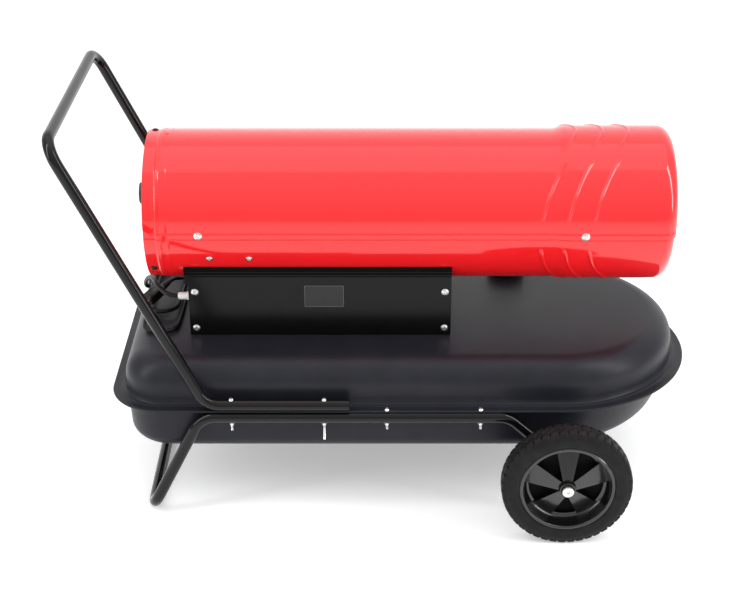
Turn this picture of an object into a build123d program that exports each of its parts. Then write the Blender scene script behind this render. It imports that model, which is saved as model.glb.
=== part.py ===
"""Diesel-fired forced air heater: a red barrel on a box, on a 50 litre tank with wheels.

Millimetres. +X points out of the hot end, +Z is up, Y=0 is the plane of symmetry.
The origin is on the floor, at the middle of the heater's length and width.
"""
from build123d import *
from math import asin, atan2, cos, degrees, hypot, pi, radians, sin, sqrt, tan
import os

# ---------------------------------------------------------------- driving dimensions
overall_length = 985.0          # handle bar to tank front
overall_height = 633.0          # floor to the top of the handle bar
slip = 0.05                     # radial running clearance of a turning fit
seat = 0.1                      # gap between parts that are bolted together
part_gap = 0.3                  # clearance of parts that move past each other

# tank
tank_length = 922.0
tank_width = 443.0
tank_corner_r = 84.0            # plan corner at the handle end
tank_sheet = 1.5
axle_drop = 11.0                # axle below the tank's floor
pan_depth = 76.5                # tank floor to the seam of the two pressed shells
dome_height = 68.5              # seam to the top of the tank
dome_inset = 22.0               # flange width round the dome
dome_shoulder_r = 40.0
dome_foot_r = 7.0
pan_inset = 16.0                # flange width round the lower shell
pan_bottom_r = 22.0
pan_nose_draw = 36.0            # the lower shell's front end slopes back by this much
pan_tail_step = 7.0             # extra flange width at the handle end
pan_tail_draw = 5.0

# tubes
tube_d = 18.0
tube_wall = 1.5
tube_y = 218.0                  # both tubes run along the flange at this half spacing
handle_bend_r = 35.0
handle_foot_x = -275.5          # where the handle turns up off the flange
handle_end_x = -55.5
stand_bar_x = -368.5            # floor bar
stand_top_x = -284.5            # where the stand leaves the flange
stand_bend_r = 38.0
stand_corner_r = 30.0
fork_bend_x = 190.0             # where the frame turns down to the axle
lug_thickness = 5.0
lug_r = 14.0

# flange bolts: place along X, and how far the thread hangs below its nut
bolt_x = (-236.5, -94.0, 2.6, 147.0)
bolt_tail = (9.5, 26.5, 7.5, 7.5)
bolt_r = 2.5
bolt_head_r = 4.6
bolt_head_h = 3.2
nut_h = 4.0

# wheels
wheel_r = 100.0
wheel_width = 36.0
wheel_face_y = 304.5            # outer face of the tyre
axle_x = 276.0
axle_r = 6.0
rim_r = 70.0
rim_wall = 4.5
tyre_shoulder_r = 5.0
hub_r = 15.0
hub_proud = 1.5                 # hub beyond the tyre's face
dish_thickness = 4.0
dish_inner_y = 296.0            # dish at the hub
dish_outer_y = 281.0            # dish at the rim
spoke_count = 5
window_angle = 34.0
window_inner_r = 19.0
window_outer_r = 61.0
hub_bolt_r = 9.0
hub_bolt_h = 5.5
hub_bolt_shank_r = 4.0
hub_bolt_shank = 18.0

# barrel
barrel_r = 117.5
barrel_lift = 69.5              # tank top to the barrel's underside
barrel_rear_x = -370.0
upper_front_x = 446.0           # the upper shell reaches a little further
lower_front_x = 442.0
barrel_sheet = 1.0
collar_length = 19.0            # reduced collar at the inlet end
collar_step = 1.5
collar_ramp = 5.0
swell_start_x = 262.0           # the front is pressed out a little
swell_ramp = 20.0
swell = 2.8
lip_r = 20.0                    # rolled lip round the hot outlet
seam_half_angle = 95.5          # upper shell: half its arc, from the top
joggle = 1.2                    # the lower shell steps in under the upper one
joggle_overlap = 9.0            # degrees of overlap
joggle_step_angle = 0.6

# control box, between the tank and the barrel
box_rear_x = -308.0
box_front_x = 104.0
box_half_width = 96.0
box_sheet = 1.5
panel_drop = 17.0               # panel's top edge below the rail's
panel_sheet = 1.5
rail_height = 30.0
rail_overhang = 6.0
end_flange = 20.0
panel_screw_inset = 10.0
panel_screw_rise = 13.0         # lower screws above the tank top
panel_screw_drop = 26.0         # upper screws below the panel's top edge
screw_r = 2.0
screw_head_r = 6.5
screw_head_h = 2.4
screw_shank = 8.0
bore_reach = 20.0               # how far a cutter runs past the skin it goes through

# air side
motor_r = 55.0
motor_rear_x = -318.0
motor_length = 140.0
shaft_r = 5.0
fan_gap = 18.5                  # blade tips to the barrel
fan_x = -152.0
fan_hub_r = 22.0
fan_hub_length = 34.0
fan_blades = 6
blade_pitch = 32.0
blade_chord = 46.0
blade_thickness = 1.6
pump_r = 43.0
pump_length = 34.0
pump_wall = 6.0
pump_cavity_r = 31.0
cover_length = 16.0
gauge_disc_r = 17.0
gauge_disc_length = 24.0
gauge_disc_lift = 16.0          # gauge above the pump's centre
guard_wire_r = 1.5
guard_x = -366.0                # rings; the screws sit a little inside them
guard_screw_x = -360.0
guard_pump_gap = 11.0           # the smallest ring's distance from the pump
guard_ring_depths = (47.5, 31.5, 15.5, 6.0)         # the other rings, inside the barrel's radius
guard_spokes = 8
guard_screw_angles = (-10.0, 128.0, -128.0)
guard_lug_r = 6.0
bracket_width = 96.0
bracket_sheet = 2.0
bracket_screw_x = (-271.0, -210.0)
bracket_screw_lift = 23.0       # above the rails, measured round the barrel
bracket_edge = 9.5              # the saddle beyond its screws, measured round the barrel
seam_screw_x = (-286.0, 305.0)
seam_screw_angle = 92.5
shell_screw_head_r = 6.0
small_screw_head_r = 5.0

# fire side
chamber_gap = 21.5              # cooling gap round the chamber
chamber_sheet = 1.5
chamber_rear_x = -62.0
chamber_front_x = 404.0
stay_width = 22.0
stay_thickness = 2.0
stay_angles = (0.0, 130.0, -130.0)
stay_x = (-20.0, 360.0)
burner_r = 40.0
burner_length = 34.0
nozzle_r = 7.0
nozzle_length = 22.0
plug_offset = 24.0              # spark plug beside the nozzle
sparker_r = 5.0
sparker_length = 60.0
photocell_r = 7.0
photocell_length = 26.0
photocell_offset = 68.0
nose_front_x = 434.0
nose_throat_r = 80.0
baffle_r = 48.0
baffle_x = 392.0
baffle_arm_width = 12.0
hose_r = 4.0
hose_rise = 9.0                 # air hose, above the barrel's underside
hose_x = -104.0                 # where the hoses turn up to the burner
hose_bend_r = 18.0
hose_top_bend_r = 7.0           # where they turn into the burner
air_hose_drop = 24.0            # below the burner's axis
fuel_hose_drop = 18.0
filter_rise = 38.0              # middle of the fuel filter above the box's floor
filter_r = 9.0
filter_half = 14.0
filter_spigot = 5.0
fuel_hose_y = -18.0
air_hose_y = 14.0

# on the floor of the box
board_x = -280.0
board_length = 110.0
board_width = 80.0
board_sheet = 1.6
board_lift = 8.0
board_post_r = 3.0
board_post_inset = 6.0
relay_inset = 12.0              # from the board's rear edge
relay_length = 28.0
relay_width = 20.0
relay_height = 15.4
capacitor_inset = 60.0
capacitor_y = 12.0
capacitor_r = 8.0
capacitor_height = 24.4
terminal_inset = 10.0           # from the board's front edge
terminal_length = 22.0
terminal_width = 60.0
terminal_height = 11.4
transformer_x = 10.0
transformer_length = 82.0
transformer_width = 68.0
transformer_height = 52.0
transformer_edge_r = 4.0
transformer_cap_y = -20.0
transformer_cap_r = 7.0
transformer_cap_h = 8.0

# fuel fittings on top of the tank, on the far side
filler_x = 210.0
filler_y = 138.0
filler_neck_r = 24.0
filler_neck_wall = 2.5
filler_neck_h = 16.0
strainer_depth = 70.0
cap_r = 31.0
cap_h = 24.0
cap_wall = 3.0
gasket_h = 3.0
dial_x = 60.0
dial_y = 138.0
dial_r = 27.0
dial_h = 14.0
dial_wall = 2.0
lens_h = 2.0
float_arm_length = 150.0
float_arm_r = 2.0
float_r = 17.0
float_length = 46.0
float_pivot_drop = 20.0         # pivot below the tank top
float_rest_angle = 43.0         # arm below level, tank empty
stem_side = 9.0
pivot_r = 2.0
pickup_r = 4.0
pickup_hole_gap = 0.3
drain_inset = 89.5              # from the tank's rear edge
drain_r = 8.0
drain_head_r = 12.0
drain_head_h = 7.0

# controls on the far panel
control_rise = 49.0             # knob, switch and window above the tank top
knob_x = -215.0
knob_r = 17.0
knob_h = 17.0
knob_gap = 0.8
spindle_r = 3.0
switch_x = -140.0
switch_w = 22.0
switch_h = 30.0
switch_bezel = 3.0
switch_depth = 24.0
rocker_gap = 0.4
rocker_tilt = 12.0
window_x = -72.0
window_w = 44.0
window_h = 22.0

# mains lead
cord_d = 7.0
gland_y = -85.0
gland_rise = 63.5               # above the tank top
gland_r = 5.8
gland_length = 18.0
hank_x = -362.0
hank_gap = 0.6                  # between neighbouring turns
hank_outer_r = 33.0
hank_start_y = 88.0
far_turn_y = (118.0, 114.0, 112.0)
near_turn_y = (-63.0, -12.0)
climb_start_y = 98.0
rest_gap = 0.3                  # cord above the tank top
plug_x = -377.5                 # middle of the moulded body
plug_y = -2.2
plug_turn = 22.0                # its cord end points away from +Y toward +X by this much
plug_w = 20.0
plug_h = 17.0
plug_body_length = 46.0
relief_length = 28.0
pin_r = 2.4
pin_length = 18.0
pin_spacing = 12.7

# ---------------------------------------------------------------- derived sizes
x_front = overall_length / 2
x_rear = -overall_length / 2
tank_rear_x = x_front - tank_length
tank_half = tank_width / 2
tank_bottom_z = wheel_r + axle_drop
tank_seam_z = tank_bottom_z + pan_depth
tank_round_x = x_front - tank_half
flange_top_z = tank_seam_z + tank_sheet
flange_bottom_z = tank_seam_z - tank_sheet
tank_top_z = tank_seam_z + dome_height
tube_r = tube_d / 2
handle_z = flange_top_z + tube_r
frame_z = flange_bottom_z - tube_r
handle_bar_x = x_rear + tube_r
handle_bar_z = overall_height - tube_r
cord_r = cord_d / 2
box_floor_z = tank_top_z + seat
barrel_z = tank_top_z + barrel_lift + barrel_r
rail_top_z = barrel_z - sqrt((barrel_r + seat) ** 2 - box_half_width ** 2) - seat
panel_top_z = rail_top_z - panel_drop
panel_screw_z = (tank_top_z + panel_screw_rise, panel_top_z - panel_screw_drop)
knob_z = tank_top_z + control_rise
gland_z = tank_top_z + gland_rise
hose_z = barrel_z - barrel_r + hose_rise
filter_z = box_floor_z + filter_rise
drain_x = tank_rear_x + drain_inset
fan_r = barrel_r - barrel_sheet - fan_gap
chamber_r = barrel_r - barrel_sheet - chamber_gap
rail_angle = 180 - degrees(asin(box_half_width / (barrel_r + seat)))
bracket_screw_angle = rail_angle - degrees(bracket_screw_lift / barrel_r)
bracket_arc = 180 - bracket_screw_angle + degrees(bracket_edge / barrel_r)
guard_rings = [pump_r + guard_pump_gap] + [barrel_r - depth for depth in guard_ring_depths]
pump_rear_x = motor_rear_x - pump_length
cover_rear_x = pump_rear_x - cover_length
shaft_front_x = fan_x + fan_hub_length / 2 + 6
wheel_inner_y = wheel_face_y - wheel_width
hub_inner_y = tube_y + lug_thickness / 2 + part_gap
hub_outer_y = wheel_face_y + hub_proud
barrel_axis = Axis((0, 0, barrel_z), (1, 0, 0))


def save(shape, node):
    export_step(shape, f"parts/{node}.step")


def group(solids, node):
    """Write several separate solids as one node."""
    save(Compound(children=list(solids)), node)


def rod(start, end, radius):
    """A round bar between two points."""
    a = Vector(*start)
    b = Vector(*end)
    direction = b - a
    plane = Plane(origin=a, z_dir=direction)
    return extrude(plane * Circle(radius), direction.length)


def block(x0, x1, y0, y1, z0, z1):
    size = Box(x1 - x0, y1 - y0, z1 - z0)
    return Pos((x0 + x1) / 2, (y0 + y1) / 2, (z0 + z1) / 2) * size


def round_tube(path, outer_r, wall):
    """A hollow tube along a path; the path starts square to its first run."""
    plane = Plane(origin=path @ 0, z_dir=path % 0)
    outer = sweep(plane * Circle(outer_r), path)
    inner = sweep(plane * Circle(outer_r - wall), path)
    return outer - inner


def round_bar(path, radius):
    plane = Plane(origin=path @ 0, z_dir=path % 0)
    return sweep(plane * Circle(radius), path)


def around_barrel(shape, angle):
    """Turn a shape built at the top of the barrel round the barrel's axis; 90 is the near side."""
    return shape.rotate(barrel_axis, angle)


# ---------------------------------------------------------------- tank
def tank_outline(inset, z, nose=0.0, tail=0.0):
    """Plan outline of the tank: round in front, squared with round corners at the rear.

    nose and tail draw the front and the rear end in by that much."""
    half = tank_half - inset
    rear = tank_rear_x + inset + tail
    corner = tank_corner_r - inset
    k = corner * (1 - sqrt(0.5))
    mid = tank_round_x - nose
    front = ThreePointArc((mid, -half, z), (mid + half, 0, z), (mid, half, z))
    far_side = Line((mid, half, z), (rear + corner, half, z))
    far_corner = ThreePointArc((rear + corner, half, z), (rear + k, half - k, z), (rear, half - corner, z))
    end = Line((rear, half - corner, z), (rear, -half + corner, z))
    near_corner = ThreePointArc((rear, -half + corner, z), (rear + k, -half + k, z),
                                (rear + corner, -half, z))
    near_side = Line((rear + corner, -half, z), (mid, -half, z))
    return make_face(Wire([front, far_side, far_corner, end, near_corner, near_side]))


def dome(inset, z0, z1, shoulder):
    """Solid dome standing on z0, its top edge rounded."""
    solid = extrude(tank_outline(inset, z0), z1 - z0)
    top = solid.edges().group_by(Axis.Z)[-1]
    return fillet(top, shoulder)


def pan(inset, z0, z1, corner):
    """Solid pan hanging from z1 down to z0, its ends drawn in, its bottom edge rounded."""
    top = tank_outline(inset, z1, tail=pan_tail_step)
    floor = tank_outline(inset, z0, nose=pan_nose_draw, tail=pan_tail_step + pan_tail_draw)
    solid = loft([top, floor], ruled=True)
    bottom = solid.edges().group_by(Axis.Z)[0]
    return fillet(bottom, corner)


def bolt_bores(radius):
    bores = []
    for side in (-1, 1):
        for x in bolt_x:
            bores.append(rod((x, side * tube_y, tank_seam_z - 1.5 * tube_d),
                             (x, side * tube_y, tank_seam_z + 1.5 * tube_d), radius))
    return bores


def tank_upper_shell():
    outer = dome(dome_inset, tank_seam_z, tank_top_z, dome_shoulder_r)
    flange = extrude(tank_outline(0, tank_seam_z), tank_sheet)
    body = outer + flange
    ledge = [f for f in body.faces().filter_by(Plane.XY) if abs(f.center().Z - flange_top_z) < 0.01][0]
    inner_foot = ledge.inner_wires()[0].edges()
    body = fillet(inner_foot, dome_foot_r)
    hollow = dome(dome_inset + tank_sheet, tank_seam_z, tank_top_z - tank_sheet,
                  dome_shoulder_r - tank_sheet)
    body = body - hollow
    holes = [rod((filler_x, filler_y, tank_top_z - 9), (filler_x, filler_y, tank_top_z + 9),
                 filler_neck_r + seat)]
    holes.append(rod((dial_x, dial_y, tank_top_z - 9), (dial_x, dial_y, tank_top_z + 9),
                     stem_side))
    holes.append(rod((hose_x, fuel_hose_y, tank_top_z - 9), (hose_x, fuel_hose_y, tank_top_z + 9),
                     pickup_r + pickup_hole_gap))
    for cutter in holes + bolt_bores(bolt_r + seat):
        body = body - cutter
    return body


def tank_lower_shell():
    outer = pan(pan_inset, tank_bottom_z, tank_seam_z, pan_bottom_r)
    flange = extrude(tank_outline(0, tank_seam_z), -tank_sheet)
    hollow = pan(pan_inset + tank_sheet, tank_bottom_z + tank_sheet, tank_seam_z,
                 pan_bottom_r - tank_sheet)
    body = (outer + flange) - hollow
    drain = rod((drain_x, 0, tank_bottom_z - 5), (drain_x, 0, tank_bottom_z + 5), drain_r + seat)
    for cutter in [drain] + bolt_bores(bolt_r + seat):
        body = body - cutter
    return body


def drain_plug():
    """Hexagon plug screwed up into the tank floor."""
    low = tank_bottom_z - drain_head_h
    head = Pos(drain_x, 0, low) * extrude(RegularPolygon(drain_head_r, 6), drain_head_h)
    shank = rod((drain_x, 0, tank_bottom_z), (drain_x, 0, tank_bottom_z + 9), drain_r)
    return head + shank


# ---------------------------------------------------------------- tubes and fasteners
def handle():
    """One bent tube: along the near flange, up, across and back down on the far side."""
    near = [(handle_end_x, -tube_y, handle_z), (handle_foot_x, -tube_y, handle_z),
            (handle_bar_x, -tube_y, handle_bar_z)]
    far = [(x, -y, z) for x, y, z in reversed(near)]
    path = FilletPolyline(*(near + far), radius=handle_bend_r)
    body = round_tube(path, tube_r, tube_wall)
    for cutter in bolt_bores(bolt_r + seat):
        body = body - cutter
    return body


def lug(side):
    """Flattened end of the frame tube that holds the axle."""
    y0 = side * tube_y - lug_thickness / 2
    rise = frame_z - wheel_r
    run = axle_x - fork_bend_x
    reach = 44.0
    angle = degrees(atan2(rise, run))
    eye = Circle(lug_r)
    strap = Pos(-reach / 2, 0) * Rectangle(reach, 2 * tube_r)
    plane = Plane(origin=(axle_x, y0, wheel_r), x_dir=(1, 0, 0), z_dir=(0, -1, 0))
    outline = Rot(0, 0, -angle) * (eye + strap)
    body = extrude(plane * outline, -lug_thickness)
    bore = rod((axle_x, y0 - 1, wheel_r), (axle_x, y0 + lug_thickness + 1, wheel_r), axle_r + slip)
    return body - bore


def wheel_frame():
    """One bent tube: axle, flange, stand, floor bar, and the same on the far side."""
    rise = frame_z - wheel_r
    run = axle_x - fork_bend_x
    length = hypot(rise, run)
    stop = 26.0
    end = (axle_x - run * stop / length, -tube_y, wheel_r + rise * stop / length)
    near = [end, (fork_bend_x, -tube_y, frame_z), (stand_top_x, -tube_y, frame_z),
            (stand_bar_x, -tube_y, tube_r)]
    far = [(x, -y, z) for x, y, z in reversed(near)]
    radii = [stand_bend_r, stand_bend_r, stand_corner_r, stand_corner_r, stand_bend_r, stand_bend_r]
    path = FilletPolyline(*(near + far), radius=radii)
    body = round_tube(path, tube_r, tube_wall)
    for side in (-1, 1):
        body = body + lug(side)
    for cutter in bolt_bores(bolt_r + seat):
        body = body - cutter
    return body


def bolt_stack(index):
    """Top and bottom of what one flange bolt clamps."""
    x = bolt_x[index]
    top = handle_z + tube_r if x < handle_end_x else flange_top_z
    return x, top, frame_z - tube_r


def flange_bolts():
    bolts = []
    for side in (-1, 1):
        for index in range(len(bolt_x)):
            x, top, bottom = bolt_stack(index)
            y = side * tube_y
            head = rod((x, y, top), (x, y, top + bolt_head_h), bolt_head_r)
            shank = rod((x, y, bottom - nut_h - bolt_tail[index]), (x, y, top), bolt_r)
            bolts.append(head + shank)
    return bolts


def flange_nuts():
    nuts = []
    for side in (-1, 1):
        for index in range(len(bolt_x)):
            x, _, bottom = bolt_stack(index)
            y = side * tube_y
            body = Pos(x, y, bottom - nut_h) * extrude(RegularPolygon(bolt_head_r, 6), nut_h)
            nuts.append(body - rod((x, y, bottom - nut_h - 1), (x, y, bottom + 1), bolt_r + slip))
    return nuts


# ---------------------------------------------------------------- wheels
def axle():
    length = wheel_face_y
    body = rod((axle_x, -length, wheel_r), (axle_x, length, wheel_r), axle_r)
    for side in (-1, 1):
        inner = (axle_x, side * (length - hub_bolt_shank - 1), wheel_r)
        outer = (axle_x, side * (length + 1), wheel_r)
        body = body - rod(inner, outer, hub_bolt_shank_r + slip)
    return body


def hub_bolts():
    bolts = []
    for side in (-1, 1):
        seat_y = side * (hub_outer_y + part_gap)
        head = rod((axle_x, seat_y, wheel_r), (axle_x, seat_y + side * hub_bolt_h, wheel_r), hub_bolt_r)
        edge = head.edges().group_by(Axis.Y)[-1 if side > 0 else 0]
        head = fillet(edge, 1.5)
        tip = side * (wheel_face_y - hub_bolt_shank)
        bolts.append(head + rod((axle_x, tip, wheel_r), (axle_x, seat_y, wheel_r), hub_bolt_shank_r))
    return bolts


def turned(points, side):
    """Revolve an outline of (radius, distance from the plane of symmetry) about the axle."""
    face = make_face(Polyline(*[(axle_x + r, side * y, wheel_r) for r, y in points], close=True))
    return revolve(face, Axis((axle_x, 0, wheel_r), (0, 1, 0)))


def tyre(side):
    body = turned([(rim_r, wheel_inner_y), (wheel_r, wheel_inner_y), (wheel_r, wheel_face_y),
                   (rim_r, wheel_face_y)], side)
    tread_edges = [e for e in body.edges().filter_by(GeomType.CIRCLE) if e.radius > rim_r + 1]
    return fillet(tread_edges, tyre_shoulder_r)


def wheel_rim(side):
    """Rim band, cone-shaped dish with five windows, and a long hub."""
    band_r = rim_r - rim_wall
    band = turned([(band_r, wheel_inner_y + 2), (rim_r, wheel_inner_y + 2),
                   (rim_r, wheel_face_y), (band_r, wheel_face_y)], side)
    dish = turned([(hub_r - 1, dish_inner_y), (band_r + 1, dish_outer_y),
                   (band_r + 1, dish_outer_y - dish_thickness),
                   (hub_r - 1, dish_inner_y - dish_thickness)], side)
    for index in range(spoke_count):
        dish = dish - window(side, 90 + (index + 0.5) * 360 / spoke_count)
    bore_r = axle_r + slip
    hub = turned([(bore_r, hub_inner_y), (hub_r, hub_inner_y), (hub_r, hub_outer_y),
                  (bore_r, hub_outer_y)], side)
    return band + dish + hub


def window(side, angle):
    """Wedge that cuts one opening in the dish."""
    half = window_angle / 2
    points = []
    for r in (window_inner_r, window_outer_r):
        ends = (-half, half) if r == window_inner_r else (half, -half)
        for a in ends:
            t = radians(angle + a)
            points.append((axle_x + r * cos(t), 0, wheel_r + r * sin(t)))
    face = make_face(Polyline(*points, close=True))
    deep = extrude(face, wheel_face_y, dir=(0, side, 0))
    return deep - block(axle_x - 99, axle_x + 99, -wheel_inner_y, wheel_inner_y, 0, 2 * wheel_r)


# ---------------------------------------------------------------- barrel
def barrel_curve(depth, front_x):
    """Half section of the barrel's sheet at a depth below its skin, rear to front, as edges."""
    def at(x, radius):
        return (x, 0, barrel_z + radius)
    r = barrel_r - depth
    step_x = barrel_rear_x + collar_length
    big = r + swell
    lip = lip_r - depth
    lip_x = front_x - lip_r
    k = lip * sqrt(0.5)
    straight = Polyline(at(barrel_rear_x, r - collar_step), at(step_x, r - collar_step),
                        at(step_x + collar_ramp, r), at(swell_start_x, r),
                        at(swell_start_x + swell_ramp, big), at(lip_x, big))
    rolled = ThreePointArc(at(lip_x, big), at(lip_x + k, big - lip + k), at(lip_x + lip, big - lip))
    return straight, rolled


def barrel_sector(outer_depth, inner_depth, start, end, front_x):
    """Sheet between two depths, swept round the barrel from one angle to another."""
    outer_line, outer_lip = barrel_curve(outer_depth, front_x)
    inner_line, inner_lip = barrel_curve(inner_depth, front_x)
    rear = Line(outer_line @ 0, inner_line @ 0)
    front = Line(outer_lip @ 1, inner_lip @ 1)
    edges = [*outer_line.edges(), outer_lip, front, inner_lip, *inner_line.edges(), rear]
    face = make_face(Wire(edges))
    return around_barrel(revolve(face, barrel_axis, revolution_arc=end - start), start)


def skin_bore(x, radius):
    """Cutter through the barrel's skin at its top."""
    skin = barrel_z + barrel_r
    return rod((x, 0, skin - bore_reach), (x, 0, skin + bore_reach), radius)


def barrel_screw_bores(radius):
    """Radial bores for every screw that goes through the barrel's skin."""
    bores = []
    spots = [(x, seam_screw_angle) for x in seam_screw_x]
    spots += [(x, bracket_screw_angle) for x in bracket_screw_x]
    spots = spots + [(x, -a) for x, a in spots]
    spots += [(guard_screw_x, a) for a in guard_screw_angles]
    for x, a in spots:
        bores.append(around_barrel(skin_bore(x, radius), a))
    return bores


def barrel_upper_shell():
    body = barrel_sector(0, barrel_sheet, -seam_half_angle, seam_half_angle, upper_front_x)
    for cutter in barrel_screw_bores(screw_r + seat):
        body = body - cutter
    return body


def barrel_lower_shell():
    low = seam_half_angle + joggle_step_angle / 2
    step = low + joggle_step_angle
    inner_skin = joggle + barrel_sheet
    front = lower_front_x
    body = barrel_sector(0, barrel_sheet, step - 0.01, 360 - step + 0.01, front)
    for first, last in ((low, step), (360 - step, 360 - low)):
        body = body + barrel_sector(0, inner_skin, first, last, front)
    top = seam_half_angle - joggle_overlap
    body = body + barrel_sector(joggle, inner_skin, top, low + 0.01, front)
    body = body + barrel_sector(joggle, inner_skin, 360 - low - 0.01, 360 - top, front)
    for cutter in barrel_screw_bores(screw_r + seat):
        body = body - cutter
    under = barrel_z - barrel_r
    return body - rod((hose_x, fuel_hose_y, under - bore_reach), (hose_x, fuel_hose_y, under + bore_reach),
                      hose_r + part_gap)


def barrel_screw(x, angle, head_r, head_h, skin, length):
    """Round-headed screw pointing at the barrel's axis."""
    head = rod((x, 0, barrel_z + skin), (x, 0, barrel_z + skin + head_h), head_r)
    head = fillet(head.edges().group_by(Axis.Z)[-1], head_h * 0.6)
    shank = rod((x, 0, barrel_z + skin - length), (x, 0, barrel_z + skin), screw_r)
    return around_barrel(head + shank, angle)


def shell_screws():
    screws = []
    for side in (-1, 1):
        for x in seam_screw_x:
            skin = barrel_r + (swell if x > swell_start_x else 0)
            screws.append(barrel_screw(x, side * seam_screw_angle, shell_screw_head_r, screw_head_h,
                                       skin + seat, 9.0))
        for x in bracket_screw_x:
            screws.append(barrel_screw(x, side * bracket_screw_angle, small_screw_head_r,
                                       screw_head_h, barrel_r + seat, 7.0))
    return screws


def guard_screws():
    skin = barrel_r - collar_step + seat
    return [barrel_screw(guard_screw_x, a, small_screw_head_r, screw_head_h, skin, 8.0)
            for a in guard_screw_angles]


def inlet_guard():
    """Wire guard over the air inlet: rings with spokes behind them, and three screw lugs on its rim."""
    plane = Plane(origin=(guard_x, 0, barrel_z), z_dir=(1, 0, 0))
    solids = [plane * Torus(r, guard_wire_r) for r in guard_rings]
    spoke_x = guard_x + 2 * guard_wire_r + slip
    for index in range(guard_spokes):
        a = 360 * (index + 0.5) / guard_spokes
        spoke = rod((spoke_x, 0, barrel_z + guard_rings[0] - 1),
                    (spoke_x, 0, barrel_z + guard_rings[-1] + 1), guard_wire_r)
        solids.append(around_barrel(spoke, a))
    outer = barrel_r - collar_step - barrel_sheet - seat
    inner = guard_rings[-1] + guard_wire_r + seat
    for a in guard_screw_angles:
        lug = block(guard_x - guard_wire_r, guard_screw_x + guard_lug_r, -guard_lug_r, guard_lug_r,
                    barrel_z + inner, barrel_z + outer)
        lug = lug & along_barrel(guard_x - bore_reach, guard_x + bore_reach, outer)
        solids.append(around_barrel(lug - skin_bore(guard_screw_x, screw_r + seat), a))
    return solids


# ---------------------------------------------------------------- motor, pump and fan
def along_barrel(x0, x1, radius, y=0.0, lift=0.0):
    """Round bar parallel to the barrel's axis."""
    return rod((x0, y, barrel_z + lift), (x1, y, barrel_z + lift), radius)


def motor_body():
    """Motor with a finned case, end caps and a bore for its shaft."""
    front = motor_rear_x + motor_length
    body = along_barrel(motor_rear_x + 12, front - 12, motor_r - 4)
    body = body + along_barrel(motor_rear_x, motor_rear_x + 14, motor_r - 9)
    body = body + along_barrel(front - 14, front, motor_r - 9)
    fins = 9
    pitch = (motor_length - 40) / fins
    for index in range(fins + 1):
        x = motor_rear_x + 18 + index * pitch
        body = body + along_barrel(x, x + 3, motor_r)
    return body - along_barrel(motor_rear_x - 1, front + 1, shaft_r + slip)


def motor_bracket():
    """Saddle that carries the motor and is screwed to the lower shell on both sides."""
    x0 = bracket_screw_x[0] - 16
    x1 = x0 + bracket_width
    outer = barrel_r - barrel_sheet - seat
    ring = along_barrel(x0, x1, outer) - along_barrel(x0 - 1, x1 + 1, outer - bracket_sheet)
    far = 2 * barrel_r
    above = block(x0 - 1, x1 + 1, -far, far, barrel_z - outer * cos(radians(bracket_arc)), barrel_z + far)
    arms = ring - above
    web_y = (motor_r * 0.52, -motor_r * 0.52)
    for y in web_y:
        web = block(x0 + 8, x1 - 8, y - 1.5, y + 1.5, barrel_z - outer, barrel_z)
        arms = arms + (web & along_barrel(x0, x1, outer))
    shelf = along_barrel(x0 + 8, x1 - 8, motor_r + bracket_sheet)
    shelf = shelf - block(x0, x1, -far, far, barrel_z - motor_r * 0.62, barrel_z + far)
    arms = arms + shelf
    arms = arms - along_barrel(x0 - 1, x1 + 1, motor_r + seat)
    return arms - above - barrel_bracket_bores()


def barrel_bracket_bores():
    bores = None
    for side in (-1, 1):
        for x in bracket_screw_x:
            bore = around_barrel(skin_bore(x, screw_r + seat), side * bracket_screw_angle)
            bores = bore if bores is None else bores + bore
    return bores


def motor_shaft():
    """Shaft with the pump's rotor turned on its rear end."""
    rotor_rear = pump_rear_x + part_gap
    rotor_front = motor_rear_x - pump_wall - part_gap
    rotor = along_barrel(rotor_rear, rotor_front, pump_cavity_r - part_gap)
    return rotor + along_barrel(rotor_front - 1, shaft_front_x, shaft_r)


def pump_body():
    """Air pump ring with its cavity open to the rear, and a bore for the shaft."""
    body = along_barrel(pump_rear_x, motor_rear_x, pump_r)
    body = body - along_barrel(pump_rear_x - 1, motor_rear_x - pump_wall, pump_cavity_r)
    outlet_x = (pump_rear_x + motor_rear_x) / 2
    spigot = rod((outlet_x, air_hose_y, barrel_z - pump_r - 7), (outlet_x, air_hose_y, barrel_z - 36), 6.5)
    body = body + spigot
    body = body - along_barrel(pump_rear_x - 1, motor_rear_x - pump_wall, pump_cavity_r)
    return body - along_barrel(pump_rear_x, motor_rear_x + 1, shaft_r + slip)


def pump_end_cover():
    """Domed filter cover with ribs and a boss for the gauge."""
    body = along_barrel(cover_rear_x, pump_rear_x, pump_r)
    body = fillet(body.edges().group_by(Axis.X)[0], 5.0)
    seat_x = cover_rear_x + 4
    body = body - along_barrel(cover_rear_x - 1, seat_x, gauge_disc_r + seat, lift=gauge_disc_lift)
    return body


def pump_gauge():
    """Air pressure gauge; it stands out through the middle of the guard."""
    seat_x = cover_rear_x + 4
    body = along_barrel(seat_x - gauge_disc_length, seat_x, gauge_disc_r, lift=gauge_disc_lift)
    return fillet(body.edges().group_by(Axis.X)[0], 1.5)


def fan():
    """Six flat blades at a pitch on a hub."""
    hub = along_barrel(fan_x - fan_hub_length / 2, fan_x + fan_hub_length / 2, fan_hub_r)
    body = hub
    reach = fan_r - fan_hub_r + 4
    for index in range(fan_blades):
        blade = Box(blade_chord, blade_thickness, reach)
        blade = Pos(fan_x, 0, barrel_z + fan_hub_r - 4 + reach / 2) * Rot(0, 0, blade_pitch) * blade
        body = body + around_barrel(blade, index * 360 / fan_blades)
    rim = along_barrel(fan_x - 40, fan_x + 40, fan_r)
    body = body & rim
    return body - along_barrel(fan_x - 60, fan_x + 60, shaft_r + slip)


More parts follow.
